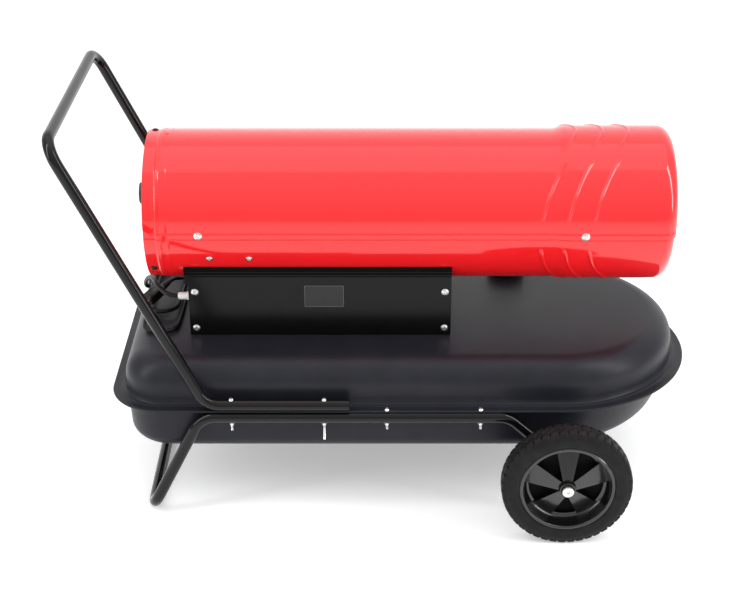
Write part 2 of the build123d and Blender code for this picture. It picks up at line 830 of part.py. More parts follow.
# ---------------------------------------------------------------- combustion
def combustion_chamber():
    """Steel drum, closed at the rear round the burner."""
    body = along_barrel(chamber_rear_x, chamber_front_x, chamber_r)
    body = body - along_barrel(chamber_rear_x + chamber_sheet, chamber_front_x + 1,
                               chamber_r - chamber_sheet)
    body = body - along_barrel(chamber_rear_x - 1, chamber_rear_x + 9, burner_r + seat)
    body = body - along_barrel(chamber_rear_x - 1, chamber_rear_x + 9, photocell_r + seat,
                               lift=photocell_offset)
    return body


def chamber_stays():
    """Flat stays on edge between the chamber and the barrel."""
    stays = []
    for x in stay_x:
        reach = barrel_r - barrel_sheet - seat + (swell if x > swell_start_x else 0)
        for a in stay_angles:
            stay = block(x, x + stay_width, -stay_thickness / 2, stay_thickness / 2,
                         barrel_z + chamber_r + slip, barrel_z + reach)
            stays.append(around_barrel(stay, a))
    return stays


def burner_head():
    """Cup behind the chamber that holds the nozzle and the spark plug."""
    rear = chamber_rear_x - burner_length + 8
    body = along_barrel(rear, chamber_rear_x + 8, burner_r)
    body = body - along_barrel(rear + 8, chamber_rear_x + 9, burner_r - 3)
    body = body - along_barrel(rear - 1, rear + 9, nozzle_r + slip)
    body = body - along_barrel(rear - 1, rear + 9, sparker_r + slip, lift=plug_offset)
    return body


def burner_nozzle():
    rear = chamber_rear_x - burner_length + 8
    body = along_barrel(rear - 12, rear + nozzle_length - 6, nozzle_r)
    tip = Plane(origin=(rear + nozzle_length - 6, 0, barrel_z), z_dir=(1, 0, 0))
    return body + extrude(tip * Circle(nozzle_r), 6, taper=30)


def spark_plug():
    rear = chamber_rear_x - burner_length + 8
    body = along_barrel(rear - 30, rear - 30 + sparker_length, sparker_r, lift=plug_offset)
    cap = along_barrel(rear - 30, rear - 6, sparker_r + 3, lift=plug_offset)
    return body + cap


def photocell():
    return along_barrel(chamber_rear_x - photocell_length + 3, chamber_rear_x + 3, photocell_r,
                        lift=photocell_offset)


def outlet_nose():
    """Hot end: a cone that narrows the flame path, with a baffle disc on three arms."""
    inner = chamber_r - chamber_sheet - seat
    start = chamber_front_x - 22

    def at(x, radius):
        return (x, 0, barrel_z + radius)
    line = [at(start, inner), at(chamber_front_x, inner), at(nose_front_x, nose_throat_r),
            at(nose_front_x, nose_throat_r - 1.5), at(chamber_front_x, inner - 1.5),
            at(start, inner - 1.5)]
    cone = revolve(make_face(Polyline(*line, close=True)), barrel_axis)
    disc = along_barrel(baffle_x, baffle_x + 2, baffle_r)
    body = cone + disc
    for index in range(3):
        arm = block(baffle_x, baffle_x + 2, -baffle_arm_width / 2, baffle_arm_width / 2,
                    barrel_z + baffle_r - 6, barrel_z + inner - 0.5)
        body = body + around_barrel(arm, 60 + 120 * index)
    return body


def air_hose():
    """From the pump, under the motor and the fan, up to the burner."""
    start_x = (pump_rear_x + motor_rear_x) / 2
    top = barrel_z - pump_r - 7
    rear = chamber_rear_x - burner_length + 8
    points = [(start_x, air_hose_y, top), (start_x, air_hose_y, hose_z), (hose_x, air_hose_y, hose_z),
              (hose_x, air_hose_y, barrel_z - air_hose_drop), (rear, air_hose_y, barrel_z - air_hose_drop)]
    return round_bar(FilletPolyline(*points, radius=[hose_bend_r, hose_bend_r, hose_top_bend_r]), hose_r)


def fuel_hose():
    """From the filter in the box up through the lower shell to the burner."""
    rear = chamber_rear_x - burner_length + 8
    start_z = filter_z + filter_half + filter_spigot
    points = [(hose_x, fuel_hose_y, start_z), (hose_x, fuel_hose_y, barrel_z - fuel_hose_drop),
              (rear, fuel_hose_y, barrel_z - fuel_hose_drop)]
    return round_bar(FilletPolyline(*points, radius=hose_top_bend_r), hose_r)


def fuel_filter():
    """Small see-through inline filter on the pickup tube."""
    z = filter_z
    reach = filter_half + filter_spigot
    body = rod((hose_x, fuel_hose_y, z - filter_half), (hose_x, fuel_hose_y, z + filter_half), filter_r)
    return body + rod((hose_x, fuel_hose_y, z - reach), (hose_x, fuel_hose_y, z + reach), hose_r)


def pickup_tube():
    """Steel tube from the filter down to just above the tank floor."""
    low = tank_bottom_z + tank_sheet + 6
    high = filter_z - filter_half - filter_spigot
    return rod((hose_x, fuel_hose_y, low), (hose_x, fuel_hose_y, high), pickup_r)


# ---------------------------------------------------------------- control box
def box_frame():
    """Floor, two end plates cut to the barrel, side rails and the flanges for the panels."""
    low = box_floor_z
    w = box_half_width
    t = box_sheet
    body = block(box_rear_x, box_front_x, -w, w, low, low + t)
    for x in (box_rear_x, box_front_x - t):
        body = body + block(x, x + t, -w, w, low, panel_top_z)
    for side in (-1, 1):
        y0 = min(side * (w - t), side * w)
        body = body + block(box_rear_x - rail_overhang, box_front_x, y0, y0 + t,
                            rail_top_z - rail_height, rail_top_z)
        for x in (box_rear_x, box_front_x - end_flange):
            body = body + block(x, x + end_flange, y0, y0 + t, low, rail_top_z - 5)
    body = body - along_barrel(box_rear_x - bore_reach, box_front_x + bore_reach, barrel_r + seat)
    body = body - rod((hose_x, fuel_hose_y, low - 5), (hose_x, fuel_hose_y, low + 5),
                      pickup_r + pickup_hole_gap)
    body = body - rod((box_rear_x - 5, gland_y, gland_z), (box_rear_x + 5, gland_y, gland_z),
                      gland_r - 1.5 + seat)
    for cutter in panel_screw_bores(screw_r + slip):
        body = body - cutter
    return body


def panel_screw_spots():
    spots = []
    for side in (-1, 1):
        for x in (box_rear_x + panel_screw_inset, box_front_x - panel_screw_inset):
            for z in panel_screw_z:
                spots.append((x, side, z))
    return spots


def panel_screw_bores(radius):
    near = box_half_width - bore_reach
    far = box_half_width + bore_reach
    return [rod((x, side * near, z), (x, side * far, z), radius) for x, side, z in panel_screw_spots()]


def box_panel(side):
    """Flat cover screwed to the box; its top edge is folded in."""
    y0 = side * (box_half_width + seat)
    y1 = y0 + side * panel_sheet
    body = block(box_rear_x, box_front_x, min(y0, y1), max(y0, y1), box_floor_z + 1, panel_top_z)
    for cutter in panel_screw_bores(screw_r + seat):
        body = body - cutter
    return body


def panel_face_y():
    return box_half_width + seat + panel_sheet


def box_panel_far():
    """The far cover also carries the thermostat, the switch and the display window."""
    body = box_panel(1)
    y0 = box_half_width - 20
    y1 = box_half_width + 20
    body = body - rod((knob_x, y0, knob_z), (knob_x, y1, knob_z), spindle_r + 1)
    body = body - block(switch_x - switch_w / 2 - seat, switch_x + switch_w / 2 + seat, y0, y1,
                        knob_z - switch_h / 2 - seat, knob_z + switch_h / 2 + seat)
    body = body - block(window_x - window_w / 2 - seat, window_x + window_w / 2 + seat, y0, y1,
                        knob_z - window_h / 2 - seat, knob_z + window_h / 2 + seat)
    return body


def panel_screws():
    """Pan-head screws with a washer under the head."""
    screws = []
    for x, side, z in panel_screw_spots():
        face = side * panel_face_y()
        head = rod((x, face, z), (x, face + side * screw_head_h, z), screw_head_r)
        edge = head.edges().group_by(Axis.Y)[-1 if side > 0 else 0]
        head = fillet(edge, screw_head_h * 0.5)
        screws.append(head + rod((x, face - side * screw_shank, z), (x, face, z), screw_r))
    return screws


def thermostat_body():
    """Behind the far panel, with a bushing that lines the knob's hole."""
    inner = box_half_width + seat
    body = block(knob_x - 17, knob_x + 17, inner - 24, inner, knob_z - 17, knob_z + 17)
    body = body + rod((knob_x, inner - 1, knob_z), (knob_x, panel_face_y(), knob_z), spindle_r + 1 - seat)
    return body - rod((knob_x, inner - 14, knob_z), (knob_x, inner + 9, knob_z), spindle_r + slip)


def thermostat_knob():
    """Fluted knob on its spindle, with a pointer rib."""
    face = panel_face_y() + knob_gap
    body = rod((knob_x, face, knob_z), (knob_x, face + knob_h, knob_z), knob_r)
    for index in range(12):
        t = radians(index * 30 + 15)
        spot = (knob_x + (knob_r + 1.6) * cos(t), face + 3, knob_z + (knob_r + 1.6) * sin(t))
        body = body - rod(spot, (spot[0], face + knob_h + 1, spot[2]), 3.0)
    rib = block(knob_x - 1.2, knob_x + 1.2, face + knob_h - 1, face + knob_h + 1.2, knob_z,
                knob_z + knob_r - 2)
    spindle = rod((knob_x, face - 12, knob_z), (knob_x, face + 1, knob_z), spindle_r)
    return body + rib + spindle


def switch_housing():
    """Rectangular case with a bezel outside the panel and a pocket for the rocker."""
    face = panel_face_y()
    w = switch_w / 2
    h = switch_h / 2
    body = block(switch_x - w, switch_x + w, face - switch_depth, face, knob_z - h, knob_z + h)
    body = body + block(switch_x - w - switch_bezel, switch_x + w + switch_bezel, face + 0.05, face + 2,
                        knob_z - h - switch_bezel, knob_z + h + switch_bezel)
    body = body + block(switch_x - w, switch_x + w, face - 1, face + 1, knob_z - h, knob_z + h)
    return body - block(switch_x - w + 2, switch_x + w - 2, face - 12, face + 5,
                        knob_z - h + 2, knob_z + h - 2)


def rocker_outline():
    """Side view of the rocker: a flat vee that rests tipped to OFF and turns on its pin."""
    h = switch_h / 2 - 2 - rocker_gap
    face = panel_face_y() + 2
    tilt = radians(rocker_tilt)
    drop = h * sin(tilt)
    return [(face - 5.5, -h * cos(tilt) + 2.2), (face + 0.6 + drop, -h * cos(tilt) + 1.0),
            (face + 0.2, 0.0), (face + 0.2 - 0.4, h * cos(tilt) - 2.0), (face - 6.5, h * cos(tilt) - 2.4),
            (face - 8.0, 0.0)]


def power_switch():
    w = switch_w / 2 - 2 - rocker_gap
    points = [(switch_x - w, y, knob_z + z) for y, z in rocker_outline()]
    body = extrude(make_face(Polyline(*points, close=True)), 2 * w, dir=(1, 0, 0))
    return body


def display_window():
    inner = box_half_width + seat
    w = window_w / 2
    h = window_h / 2
    body = block(window_x - w, window_x + w, inner, panel_face_y() + 0.8, knob_z - h, knob_z + h)
    return body + block(window_x - w - 3, window_x + w + 3, inner - 3, inner - 0.02, knob_z - h - 3,
                        knob_z + h + 3)


def control_board():
    """Circuit board on four posts, with a relay, a capacitor and a terminal block."""
    low = box_floor_z + box_sheet
    top = low + board_lift + board_sheet
    root = top - board_sheet / 2
    front = board_x + board_length
    half = board_width / 2
    body = block(board_x, front, -half, half, low + board_lift, top)
    for x in (board_x + board_post_inset, front - board_post_inset):
        for y in (-half + board_post_inset, half - board_post_inset):
            body = body + rod((x, y, low), (x, y, root), board_post_r)
    relay_x = board_x + relay_inset
    body = body + block(relay_x, relay_x + relay_length, -relay_width, 0, root, top + relay_height)
    x = board_x + capacitor_inset
    body = body + rod((x, capacitor_y, root), (x, capacitor_y, top + capacitor_height), capacitor_r)
    x = front - terminal_inset
    half = terminal_width / 2
    return body + block(x - terminal_length, x, -half, half, root, top + terminal_height)


def ignition_transformer():
    low = box_floor_z + box_sheet
    top = low + transformer_height
    half = transformer_width / 2
    body = block(transformer_x, transformer_x + transformer_length, -half, half, low, top)
    body = fillet(body.edges().filter_by(Axis.Z), transformer_edge_r)
    x = transformer_x + transformer_length / 2
    y = transformer_cap_y
    return body + rod((x, y, top - transformer_cap_h / 2), (x, y, top + transformer_cap_h), transformer_cap_r)


# ---------------------------------------------------------------- fuel fittings
def filler_neck():
    base_z = tank_top_z
    x = filler_x
    y = filler_y
    bore = filler_neck_r - filler_neck_wall
    body = rod((x, y, base_z - 6), (x, y, base_z + filler_neck_h), filler_neck_r)
    body = body + rod((x, y, base_z + seat / 2), (x, y, base_z + 2.5), filler_neck_r + 8)
    return body - rod((x, y, base_z - 9), (x, y, base_z + filler_neck_h + 1), bore)


def filler_strainer():
    """Strainer basket hanging in the neck by its rim; its fine mesh is a plain thin wall."""
    top = tank_top_z + filler_neck_h
    bore = filler_neck_r - filler_neck_wall
    outer = bore - part_gap
    x = filler_x
    y = filler_y
    low = top - strainer_depth
    body = rod((x, y, low), (x, y, top), outer) - rod((x, y, low + 1.2), (x, y, top + 1), outer - 1.2)
    rim = rod((x, y, top), (x, y, top + 1.5), bore + 1.5)
    rim = rim - rod((x, y, top - 1), (x, y, top + 2), outer - 1.2)
    return body + rim


def cap_gasket():
    """Rubber ring on the neck that lifts with the cap."""
    low = tank_top_z + filler_neck_h + 1.5 + part_gap
    x = filler_x
    y = filler_y
    ring = rod((x, y, low), (x, y, low + gasket_h), filler_neck_r)
    return ring - rod((x, y, low - 1), (x, y, low + gasket_h + 1), filler_neck_r - filler_neck_wall)


def fuel_cap():
    """Cap with a ribbed grip; it turns on the gasket."""
    top_in = tank_top_z + filler_neck_h + 1.5 + part_gap + gasket_h + seat
    low = top_in + cap_wall - cap_h + 3
    x = filler_x
    y = filler_y
    body = rod((x, y, low), (x, y, top_in + cap_wall), cap_r)
    body = fillet(body.edges().group_by(Axis.Z)[-1], 2.0)
    body = body - rod((x, y, low - 1), (x, y, top_in), filler_neck_r + part_gap)
    for index in range(18):
        t = 2 * pi * index / 18
        spot = (x + (cap_r + 0.8) * cos(t), y + (cap_r + 0.8) * sin(t))
        body = body - rod((spot[0], spot[1], low - 1), (spot[0], spot[1], top_in - 1), 2.2)
    bar = block(x - cap_r + 8, x + cap_r - 8, y - 4, y + 4, top_in + cap_wall - 1, top_in + cap_wall + 6)
    return body + bar


def gauge_body():
    """Dial cup on the tank top, with a stem below it for the float arm."""
    x = dial_x
    y = dial_y
    low = tank_top_z + seat
    pivot_z = tank_top_z - float_pivot_drop
    body = rod((x, y, low), (x, y, low + dial_h), dial_r)
    body = body - rod((x, y, low + 5), (x, y, low + dial_h + 1), dial_r - dial_wall)
    half = stem_side / 2
    body = body + block(x - half, x + half, y - half, y + half, pivot_z - half, low + 1)
    body = body + rod((x, y, low + 4), (x, y, low + 8), 1.5)
    return body - rod((x, y - 20, pivot_z), (x, y + 20, pivot_z), pivot_r + slip)


def gauge_lens():
    z = tank_top_z + seat + dial_h - lens_h
    return rod((dial_x, dial_y, z), (dial_x, dial_y, z + lens_h), dial_r - dial_wall - slip)


def gauge_needle():
    """Pointer that turns on the dial's post."""
    z = tank_top_z + seat + 5 + 0.8
    x = dial_x
    y = dial_y
    hub = rod((x, y, z), (x, y, z + 2.4), 4)
    pointer = block(x - 19, x + 6, y - 0.9, y + 0.9, z + 0.6, z + 1.8)
    return (hub + pointer) - rod((x, y, z - 1), (x, y, z + 9), 1.5 + slip)


def fuel_float():
    """Float on its arm, hanging down to the tank floor, with the pivot pin as part of the arm."""
    pivot_z = tank_top_z - float_pivot_drop
    half = stem_side / 2
    x = dial_x
    arm_y = dial_y + half + part_gap + float_arm_r
    t = radians(float_rest_angle)
    end = (x - float_arm_length * cos(t), arm_y, pivot_z - float_arm_length * sin(t))
    pin = rod((x, dial_y - half - 1, pivot_z), (x, arm_y + float_arm_r, pivot_z), pivot_r)
    arm = rod((x, arm_y, pivot_z), end, float_arm_r)
    drum = rod((end[0], arm_y - float_length / 2, end[2]), (end[0], arm_y + float_length / 2, end[2]),
               float_r)
    drum = fillet(drum.edges(), 4)
    return pin + arm + drum


# ---------------------------------------------------------------- mains lead
def cable_gland():
    """Round gland with a collar against the box and its nut inside."""
    x = box_rear_x
    outer = rod((x - gland_length, gland_y, gland_z), (x - 0.05, gland_y, gland_z), gland_r)
    outer = fillet(outer.edges().group_by(Axis.X)[0], 1.5)
    collar = rod((x - 4, gland_y, gland_z), (x - 0.05, gland_y, gland_z), gland_r + 2)
    stem = rod((x - 1, gland_y, gland_z), (x + box_sheet + 1, gland_y, gland_z), gland_r - 1.5)
    nut = rod((x + box_sheet + 0.05, gland_y, gland_z), (x + box_sheet + 4, gland_y, gland_z), gland_r + 1)
    return outer + collar + stem + nut


def hank_levels():
    """Heights of the two layers of the hank."""
    low = tank_top_z + rest_gap + cord_r
    return low, low + cord_d + hank_gap


def hank_lanes():
    """Half widths of the hank's outer and inner runs, a turn apart."""
    return hank_outer_r, hank_outer_r - cord_d - hank_gap


def hank_path():
    """Two and a half turns: a turn and a half on the tank, a climb, then a turn above it."""
    z1, z2 = hank_levels()
    wide, tight = hank_lanes()

    def at(offset, y, z):
        return (hank_x + offset, y, z)

    def half_turn(x_from, x_to, y, z, way):
        middle = (x_from + x_to) / 2
        bulge = abs(x_to - x_from) / 2
        return ThreePointArc(at(x_from, y, z), at(middle, y + way * bulge, z), at(x_to, y, z))

    far1, far2, far3 = far_turn_y
    near1, near2 = near_turn_y
    half_y = (climb_start_y + near2) / 2
    half_z = (z1 + z2) / 2
    first_climb = TangentArc(at(tight, climb_start_y, z1), at(tight, half_y, half_z),
                             tangent=(0, -1, 0))
    edges = [
        Line(at(-wide, hank_start_y, z1), at(-wide, far1, z1)),
        half_turn(-wide, wide, far1, z1, 1),
        Line(at(wide, far1, z1), at(wide, near1, z1)),
        half_turn(wide, -tight, near1, z1, -1),
        Line(at(-tight, near1, z1), at(-tight, far2, z1)),
        half_turn(-tight, tight, far2, z1, 1),
        Line(at(tight, far2, z1), at(tight, climb_start_y, z1)),
        first_climb,
        TangentArc(at(tight, half_y, half_z), at(tight, near2, z2), tangent=first_climb % 1),
        half_turn(tight, -tight, near2, z2, -1),
        Line(at(-tight, near2, z2), at(-tight, far3, z2)),
        half_turn(-tight, tight, far3, z2, 1),
        Line(at(tight, far3, z2), at(tight, far3 - cord_d, z2)),
    ]
    return Wire(edges)


def lead_points():
    """Route from the gland, out, down and round to the start of the hank."""
    z1, _ = hank_levels()
    wide, _ = hank_lanes()
    x0 = box_rear_x - gland_length
    y0 = gland_y
    z0 = gland_z
    lane = hank_x - wide
    return [(x0, y0, z0), (x0 - 15.5, y0, z0), (x0 - 35, y0 + 20, z0 + 8.5), (x0 - 43, y0 + 47, z0 + 5.5),
            (x0 - 53, y0 + 77, z0 - 3.5), (x0 - 64, y0 + 107, z0 - 21.5),
            (lane - 3, hank_start_y - 42, z1 + 16), (lane, hank_start_y - 22, z1), (lane, hank_start_y, z1)]


def tail_points():
    """Route from the end of the hank across to the plug's strain relief."""
    _, z2 = hank_levels()
    _, tight = hank_lanes()
    x0 = hank_x + tight
    y0 = far_turn_y[2] - cord_d
    end = plug_body_length / 2 + relief_length
    return [(x0, y0, z2), (x0, y0 - 15, z2), (x0 - 6, y0 - 31, z2 + 6), plug_spot(end + 16), plug_spot(end)]


def plug_axis_z():
    """The plug lies on the upper layer of the hank."""
    _, z2 = hank_levels()
    return z2 + cord_r + rest_gap + plug_h / 2


def plug_spot(reach):
    """Point on the plug's axis, this far from its middle toward its cord."""
    t = radians(plug_turn)
    return plug_x + reach * sin(t), plug_y + reach * cos(t), plug_axis_z()


def bend_radii(points):
    """Radius of each corner: its tangent over the tangent of half its turn.

    A corner may use 0.45 of each run, and 0.9 of a run at either end of the route."""
    radii = []
    last = len(points) - 3
    for index, (a, b, c) in enumerate(zip(points, points[1:], points[2:])):
        before = Vector(*b) - Vector(*a)
        after = Vector(*c) - Vector(*b)
        turn = radians(before.get_angle(after))
        tangent = min(before.length * (0.9 if index == 0 else 0.45),
                      after.length * (0.9 if index == last else 0.45))
        radii.append(tangent / tan(turn / 2))
    return radii


def cord_tube(points, name):
    radii = bend_radii(points)
    path = FilletPolyline(*points, radius=radii)
    body = round_bar(path, cord_r)
    share = body.volume / (pi * cord_r ** 2 * path.length)
    print(f"{name}: radii {[round(r, 1) for r in radii]} length {path.length:.1f} "
          f"volume over section times length {share:.4f}")
    return body, path.length


def least_gap(path, step):
    """Least distance of the path's line to itself, past neighbours, less one diameter."""
    count = int(path.length / step)
    spots = [path.position_at(i / count) for i in range(count + 1)]
    skip = int(3 * cord_d / step)
    least = 1e9
    for i, a in enumerate(spots):
        for b in spots[i + skip:]:
            least = min(least, abs(a - b))
    return least - cord_d


def hank():
    path = hank_path()
    body = round_bar(path, cord_r)
    share = body.volume / (pi * cord_r ** 2 * path.length)
    print(f"hank: length {path.length:.1f} least gap {least_gap(path, 3.0):.2f} "
          f"volume over section times length {share:.4f}")
    return body, path.length


def plug_body():
    """Moulded plug: a rounded block and a tapering strain relief."""
    z = plug_axis_z()
    front_y = plug_y - plug_body_length / 2
    shoulder_y = plug_y + plug_body_length / 2
    body = block(plug_x - plug_w / 2, plug_x + plug_w / 2, front_y, shoulder_y, z - plug_h / 2,
                 z + plug_h / 2)
    body = fillet(body.edges().filter_by(Axis.Y), 5)
    body = fillet(body.edges().group_by(Axis.Y)[-1], 4)
    base = Plane(origin=(plug_x, shoulder_y - 1, z), z_dir=(0, 1, 0))
    relief = extrude(base * Circle(7.5), relief_length + 1, taper=degrees(atan2(3.2, relief_length)))
    return (body + relief).rotate(plug_axis(), -plug_turn)


def plug_axis():
    return Axis((plug_x, plug_y, 0), (0, 0, 1))


def plug_pins():
    z = plug_axis_z()
    front_y = plug_y - plug_body_length / 2
    pins = []
    for dx, dz in ((-pin_spacing / 2, 2.0), (pin_spacing / 2, 2.0), (0.0, -5.0)):
        pin = rod((plug_x + dx, front_y - 0.02, z + dz), (plug_x + dx, front_y - pin_length, z + dz), pin_r)
        pins.append(fillet(pin.edges().group_by(Axis.Y)[0], 1.2).rotate(plug_axis(), -plug_turn))
    return pins


# ---------------------------------------------------------------- write every node
def main():
    os.makedirs("parts", exist_ok=True)
    save(tank_lower_shell(), "tank_lower_shell")
    save(tank_upper_shell(), "tank_upper_shell")
    save(drain_plug(), "drain_plug")
    save(filler_neck(), "filler_neck")
    save(filler_strainer(), "filler_strainer")
    save(cap_gasket(), "cap_gasket")
    save(fuel_cap(), "fuel_cap")
    save(gauge_body(), "gauge_body")
    save(gauge_lens(), "gauge_lens")
    save(gauge_needle(), "gauge_needle")
    save(fuel_float(), "fuel_float")
    save(pickup_tube(), "pickup_tube")
    save(handle(), "handle")
    save(wheel_frame(), "wheel_frame")
    group(flange_bolts(), "flange_bolts")
    group(flange_nuts(), "flange_nuts")
    save(axle(), "axle")
    group(hub_bolts(), "hub_bolts")
    for name, side in (("near", -1), ("far", 1)):
        save(tyre(side), f"tyre_{name}")
        save(wheel_rim(side), f"rim_{name}")
    save(barrel_upper_shell(), "barrel_upper_shell")
    save(barrel_lower_shell(), "barrel_lower_shell")
    group(shell_screws(), "shell_screws")
    group(guard_screws(), "guard_screws")
    group(inlet_guard(), "inlet_guard")
    save(motor_body(), "motor_body")
    save(motor_bracket(), "motor_bracket")
    save(motor_shaft(), "motor_shaft")
    save(fan(), "fan")
    save(pump_body(), "pump_body")
    save(pump_end_cover(), "pump_end_cover")
    save(pump_gauge(), "pump_gauge")
    save(combustion_chamber(), "combustion_chamber")
    group(chamber_stays(), "chamber_stays")
    save(burner_head(), "burner_head")
    save(burner_nozzle(), "burner_nozzle")
    save(spark_plug(), "spark_plug")
    save(photocell(), "photocell")
    save(outlet_nose(), "outlet_nose")
    save(air_hose(), "air_hose")
    save(fuel_hose(), "fuel_hose")
    save(fuel_filter(), "fuel_filter")
    save(box_frame(), "box_frame")
    save(box_panel(-1), "box_panel_near")
    save(box_panel_far(), "box_panel_far")
    group(panel_screws(), "panel_screws")
    save(thermostat_body(), "thermostat_body")
    save(thermostat_knob(), "thermostat_knob")
    save(switch_housing(), "switch_housing")
    save(power_switch(), "power_switch")
    save(display_window(), "display_window")
    save(control_board(), "control_board")
    save(ignition_transformer(), "ignition_transformer")
    save(cable_gland(), "cable_gland")
    lead, lead_length = cord_tube(lead_points(), "lead")
    tail, tail_length = cord_tube(tail_points(), "tail")
    turns, hank_length = hank()
    group([lead, tail], "cord_lead")
    save(turns, "cord_hank")
    save(plug_body(), "plug_body")
    group(plug_pins(), "plug_pins")
    print(f"mains lead, gland to plug: {(lead_length + tail_length + hank_length) / 1000:.2f} m")


main()
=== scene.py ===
import bmesh
import bpy
import numpy as np
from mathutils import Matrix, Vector
from math import cos, pi, radians, sin


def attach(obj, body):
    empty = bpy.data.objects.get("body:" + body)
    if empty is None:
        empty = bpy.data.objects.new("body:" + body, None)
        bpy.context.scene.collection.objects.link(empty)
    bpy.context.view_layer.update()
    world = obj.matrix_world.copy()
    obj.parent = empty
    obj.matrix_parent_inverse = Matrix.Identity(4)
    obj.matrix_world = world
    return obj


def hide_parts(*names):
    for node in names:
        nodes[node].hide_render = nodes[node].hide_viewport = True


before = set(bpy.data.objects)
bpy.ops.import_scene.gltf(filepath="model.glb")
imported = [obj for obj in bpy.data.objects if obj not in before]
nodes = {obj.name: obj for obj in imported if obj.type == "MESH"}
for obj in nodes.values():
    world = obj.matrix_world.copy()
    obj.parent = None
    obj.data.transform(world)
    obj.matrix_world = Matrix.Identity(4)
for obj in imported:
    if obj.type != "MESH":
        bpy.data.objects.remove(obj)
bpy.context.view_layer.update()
scene = bpy.context.scene
MM = 0.001

# Sizes in millimetres, in the frame of the CAD model.
BARREL_Z = 443.0
BARREL_R = 117.5
SHEET = 1.0
LIP_R = 20.0
REAR_X = -370.0
COLLAR_END_X = -328.0
SWELL_X = 272.0
SWELL = 2.8
TOP_SWELL = 1.9
UPPER_FRONT_X = 446.0
LOWER_FRONT_X = 444.4
TANK_FRONT_X = 492.5
TANK_REAR_X = -429.5
TANK_HALF = 221.5
TANK_CORNER = 84.0
TANK_TOP_Z = 256.0
TANK_SHEET = 1.5
WALL_INSET = 22.0
SHOULDER_R = 40.0
SEAM_Z = 187.5
PAN_INSET = 16.0
PAN_EDGE_R = 22.0
PAN_BOTTOM_Z = 111.0
AXLE = (276.0, 100.0)
WHEEL_R = 100.0
WHEEL_FACE = 304.5
WHEEL_BACK = 268.5
PANEL_FACE = 97.6
GLAND_TIP = (-326.0, -85.0, 319.5)


# ---------------------------------------------------------------- mesh tools
def grid_faces(rows, cols, wrap_rows=False, wrap_cols=False):
    """Quads between neighbouring points of a rows by cols grid, as an array of four indices."""
    r = np.arange(rows if wrap_rows else rows - 1)
    c = np.arange(cols if wrap_cols else cols - 1)
    r, c = np.meshgrid(r, c, indexing="ij")
    r2 = (r + 1) % rows
    c2 = (c + 1) % cols
    quads = np.stack([r * cols + c, r * cols + c2, r2 * cols + c2, r2 * cols + c], axis=-1)
    return quads.reshape(-1, 4)


def sheet_part(points, wrap_rows=False, wrap_cols=False):
    """A grid of points (rows, cols, 3) as one part of a mesh."""
    rows, cols = points.shape[:2]
    return points.reshape(-1, 3), grid_faces(rows, cols, wrap_rows, wrap_cols)


def lathe(profile, centre, axis, turns=48):
    """Ring of radius r at distance a along the axis, for each (a, r) of the profile."""
    profile = np.array(profile, float)
    along, first, second = {"X": ((1, 0, 0), (0, 0, 1), (0, -1, 0)),
                            "Y": ((0, 1, 0), (1, 0, 0), (0, 0, 1)),
                            "Z": ((0, 0, 1), (1, 0, 0), (0, 1, 0))}[axis]
    t = np.arange(turns) * 2 * pi / turns
    ring = np.cos(t)[:, None] * np.array(first) + np.sin(t)[:, None] * np.array(second)
    points = (np.array(centre) + profile[:, 0, None, None] * np.array(along)
              + profile[:, 1, None, None] * ring[None])
    return sheet_part(points, wrap_cols=True)


def slab(low, high):
    """A plain block between two corners; it is rounded only where its piece is given a bevel."""
    x, y, z = np.meshgrid(*zip(low, high), indexing="ij")
    points = np.stack([x.ravel(), y.ravel(), z.ravel()], axis=1).astype(float)
    faces = np.array([[0, 1, 3, 2], [4, 6, 7, 5], [0, 4, 5, 1], [2, 3, 7, 6], [0, 2, 6, 4], [1, 5, 7, 3]])
    return points, faces


def moved(part, turn, shift):
    """A part turned by a 3 by 3 matrix and then shifted."""
    points, faces = part
    return points @ np.array(turn).T + np.array(shift, float), faces


def turn_about(axis, degrees):
    """Rotation matrix about X, Y or Z."""
    c, s = cos(radians(degrees)), sin(radians(degrees))
    return {"X": [[1, 0, 0], [0, c, -s], [0, s, c]],
            "Y": [[c, 0, s], [0, 1, 0], [-s, 0, c]],
            "Z": [[c, -s, 0], [s, c, 0], [0, 0, 1]]}[axis]


def round_edges(thing, width, angle):
    """Bevel of this width in millimetres on every edge sharper than the angle."""
    cut = thing.modifiers.new("bevel", "BEVEL")
    cut.width = width * MM
    cut.segments = 2
    cut.limit_method = "ANGLE"
    cut.angle_limit = radians(angle)
    cut.harden_normals = True


def piece(name, parts, material, body="chassis", replaces=(), sharp=35, bevel=0.0):
    """One object from several parts in millimetres: joined, doubles merged, faces turned outwards."""
    points, faces, start = [], [], 0
    for part_points, part_faces in parts:
        points.append(part_points)
        faces.append(part_faces + start)
        start += len(part_points)
    mesh = bpy.data.meshes.new(name)
    mesh.from_pydata((np.concatenate(points) * MM).tolist(), [], np.concatenate(faces).tolist())
    work = bmesh.new()
    work.from_mesh(mesh)
    bmesh.ops.remove_doubles(work, verts=work.verts, dist=2e-6)
    bmesh.ops.dissolve_degenerate(work, edges=work.edges, dist=1e-6)
    bmesh.ops.recalc_face_normals(work, faces=work.faces)
    work.to_mesh(mesh)
    work.free()
    mesh.shade_smooth()
    mesh.set_sharp_from_angle(angle=radians(sharp))
    mesh.materials.append(material)
    thing = bpy.data.objects.new(name, mesh)
    scene.collection.objects.link(thing)
    if bevel:
        round_edges(thing, bevel, 30)
    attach(thing, body)
    if replaces:
        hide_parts(*replaces)
    return thing


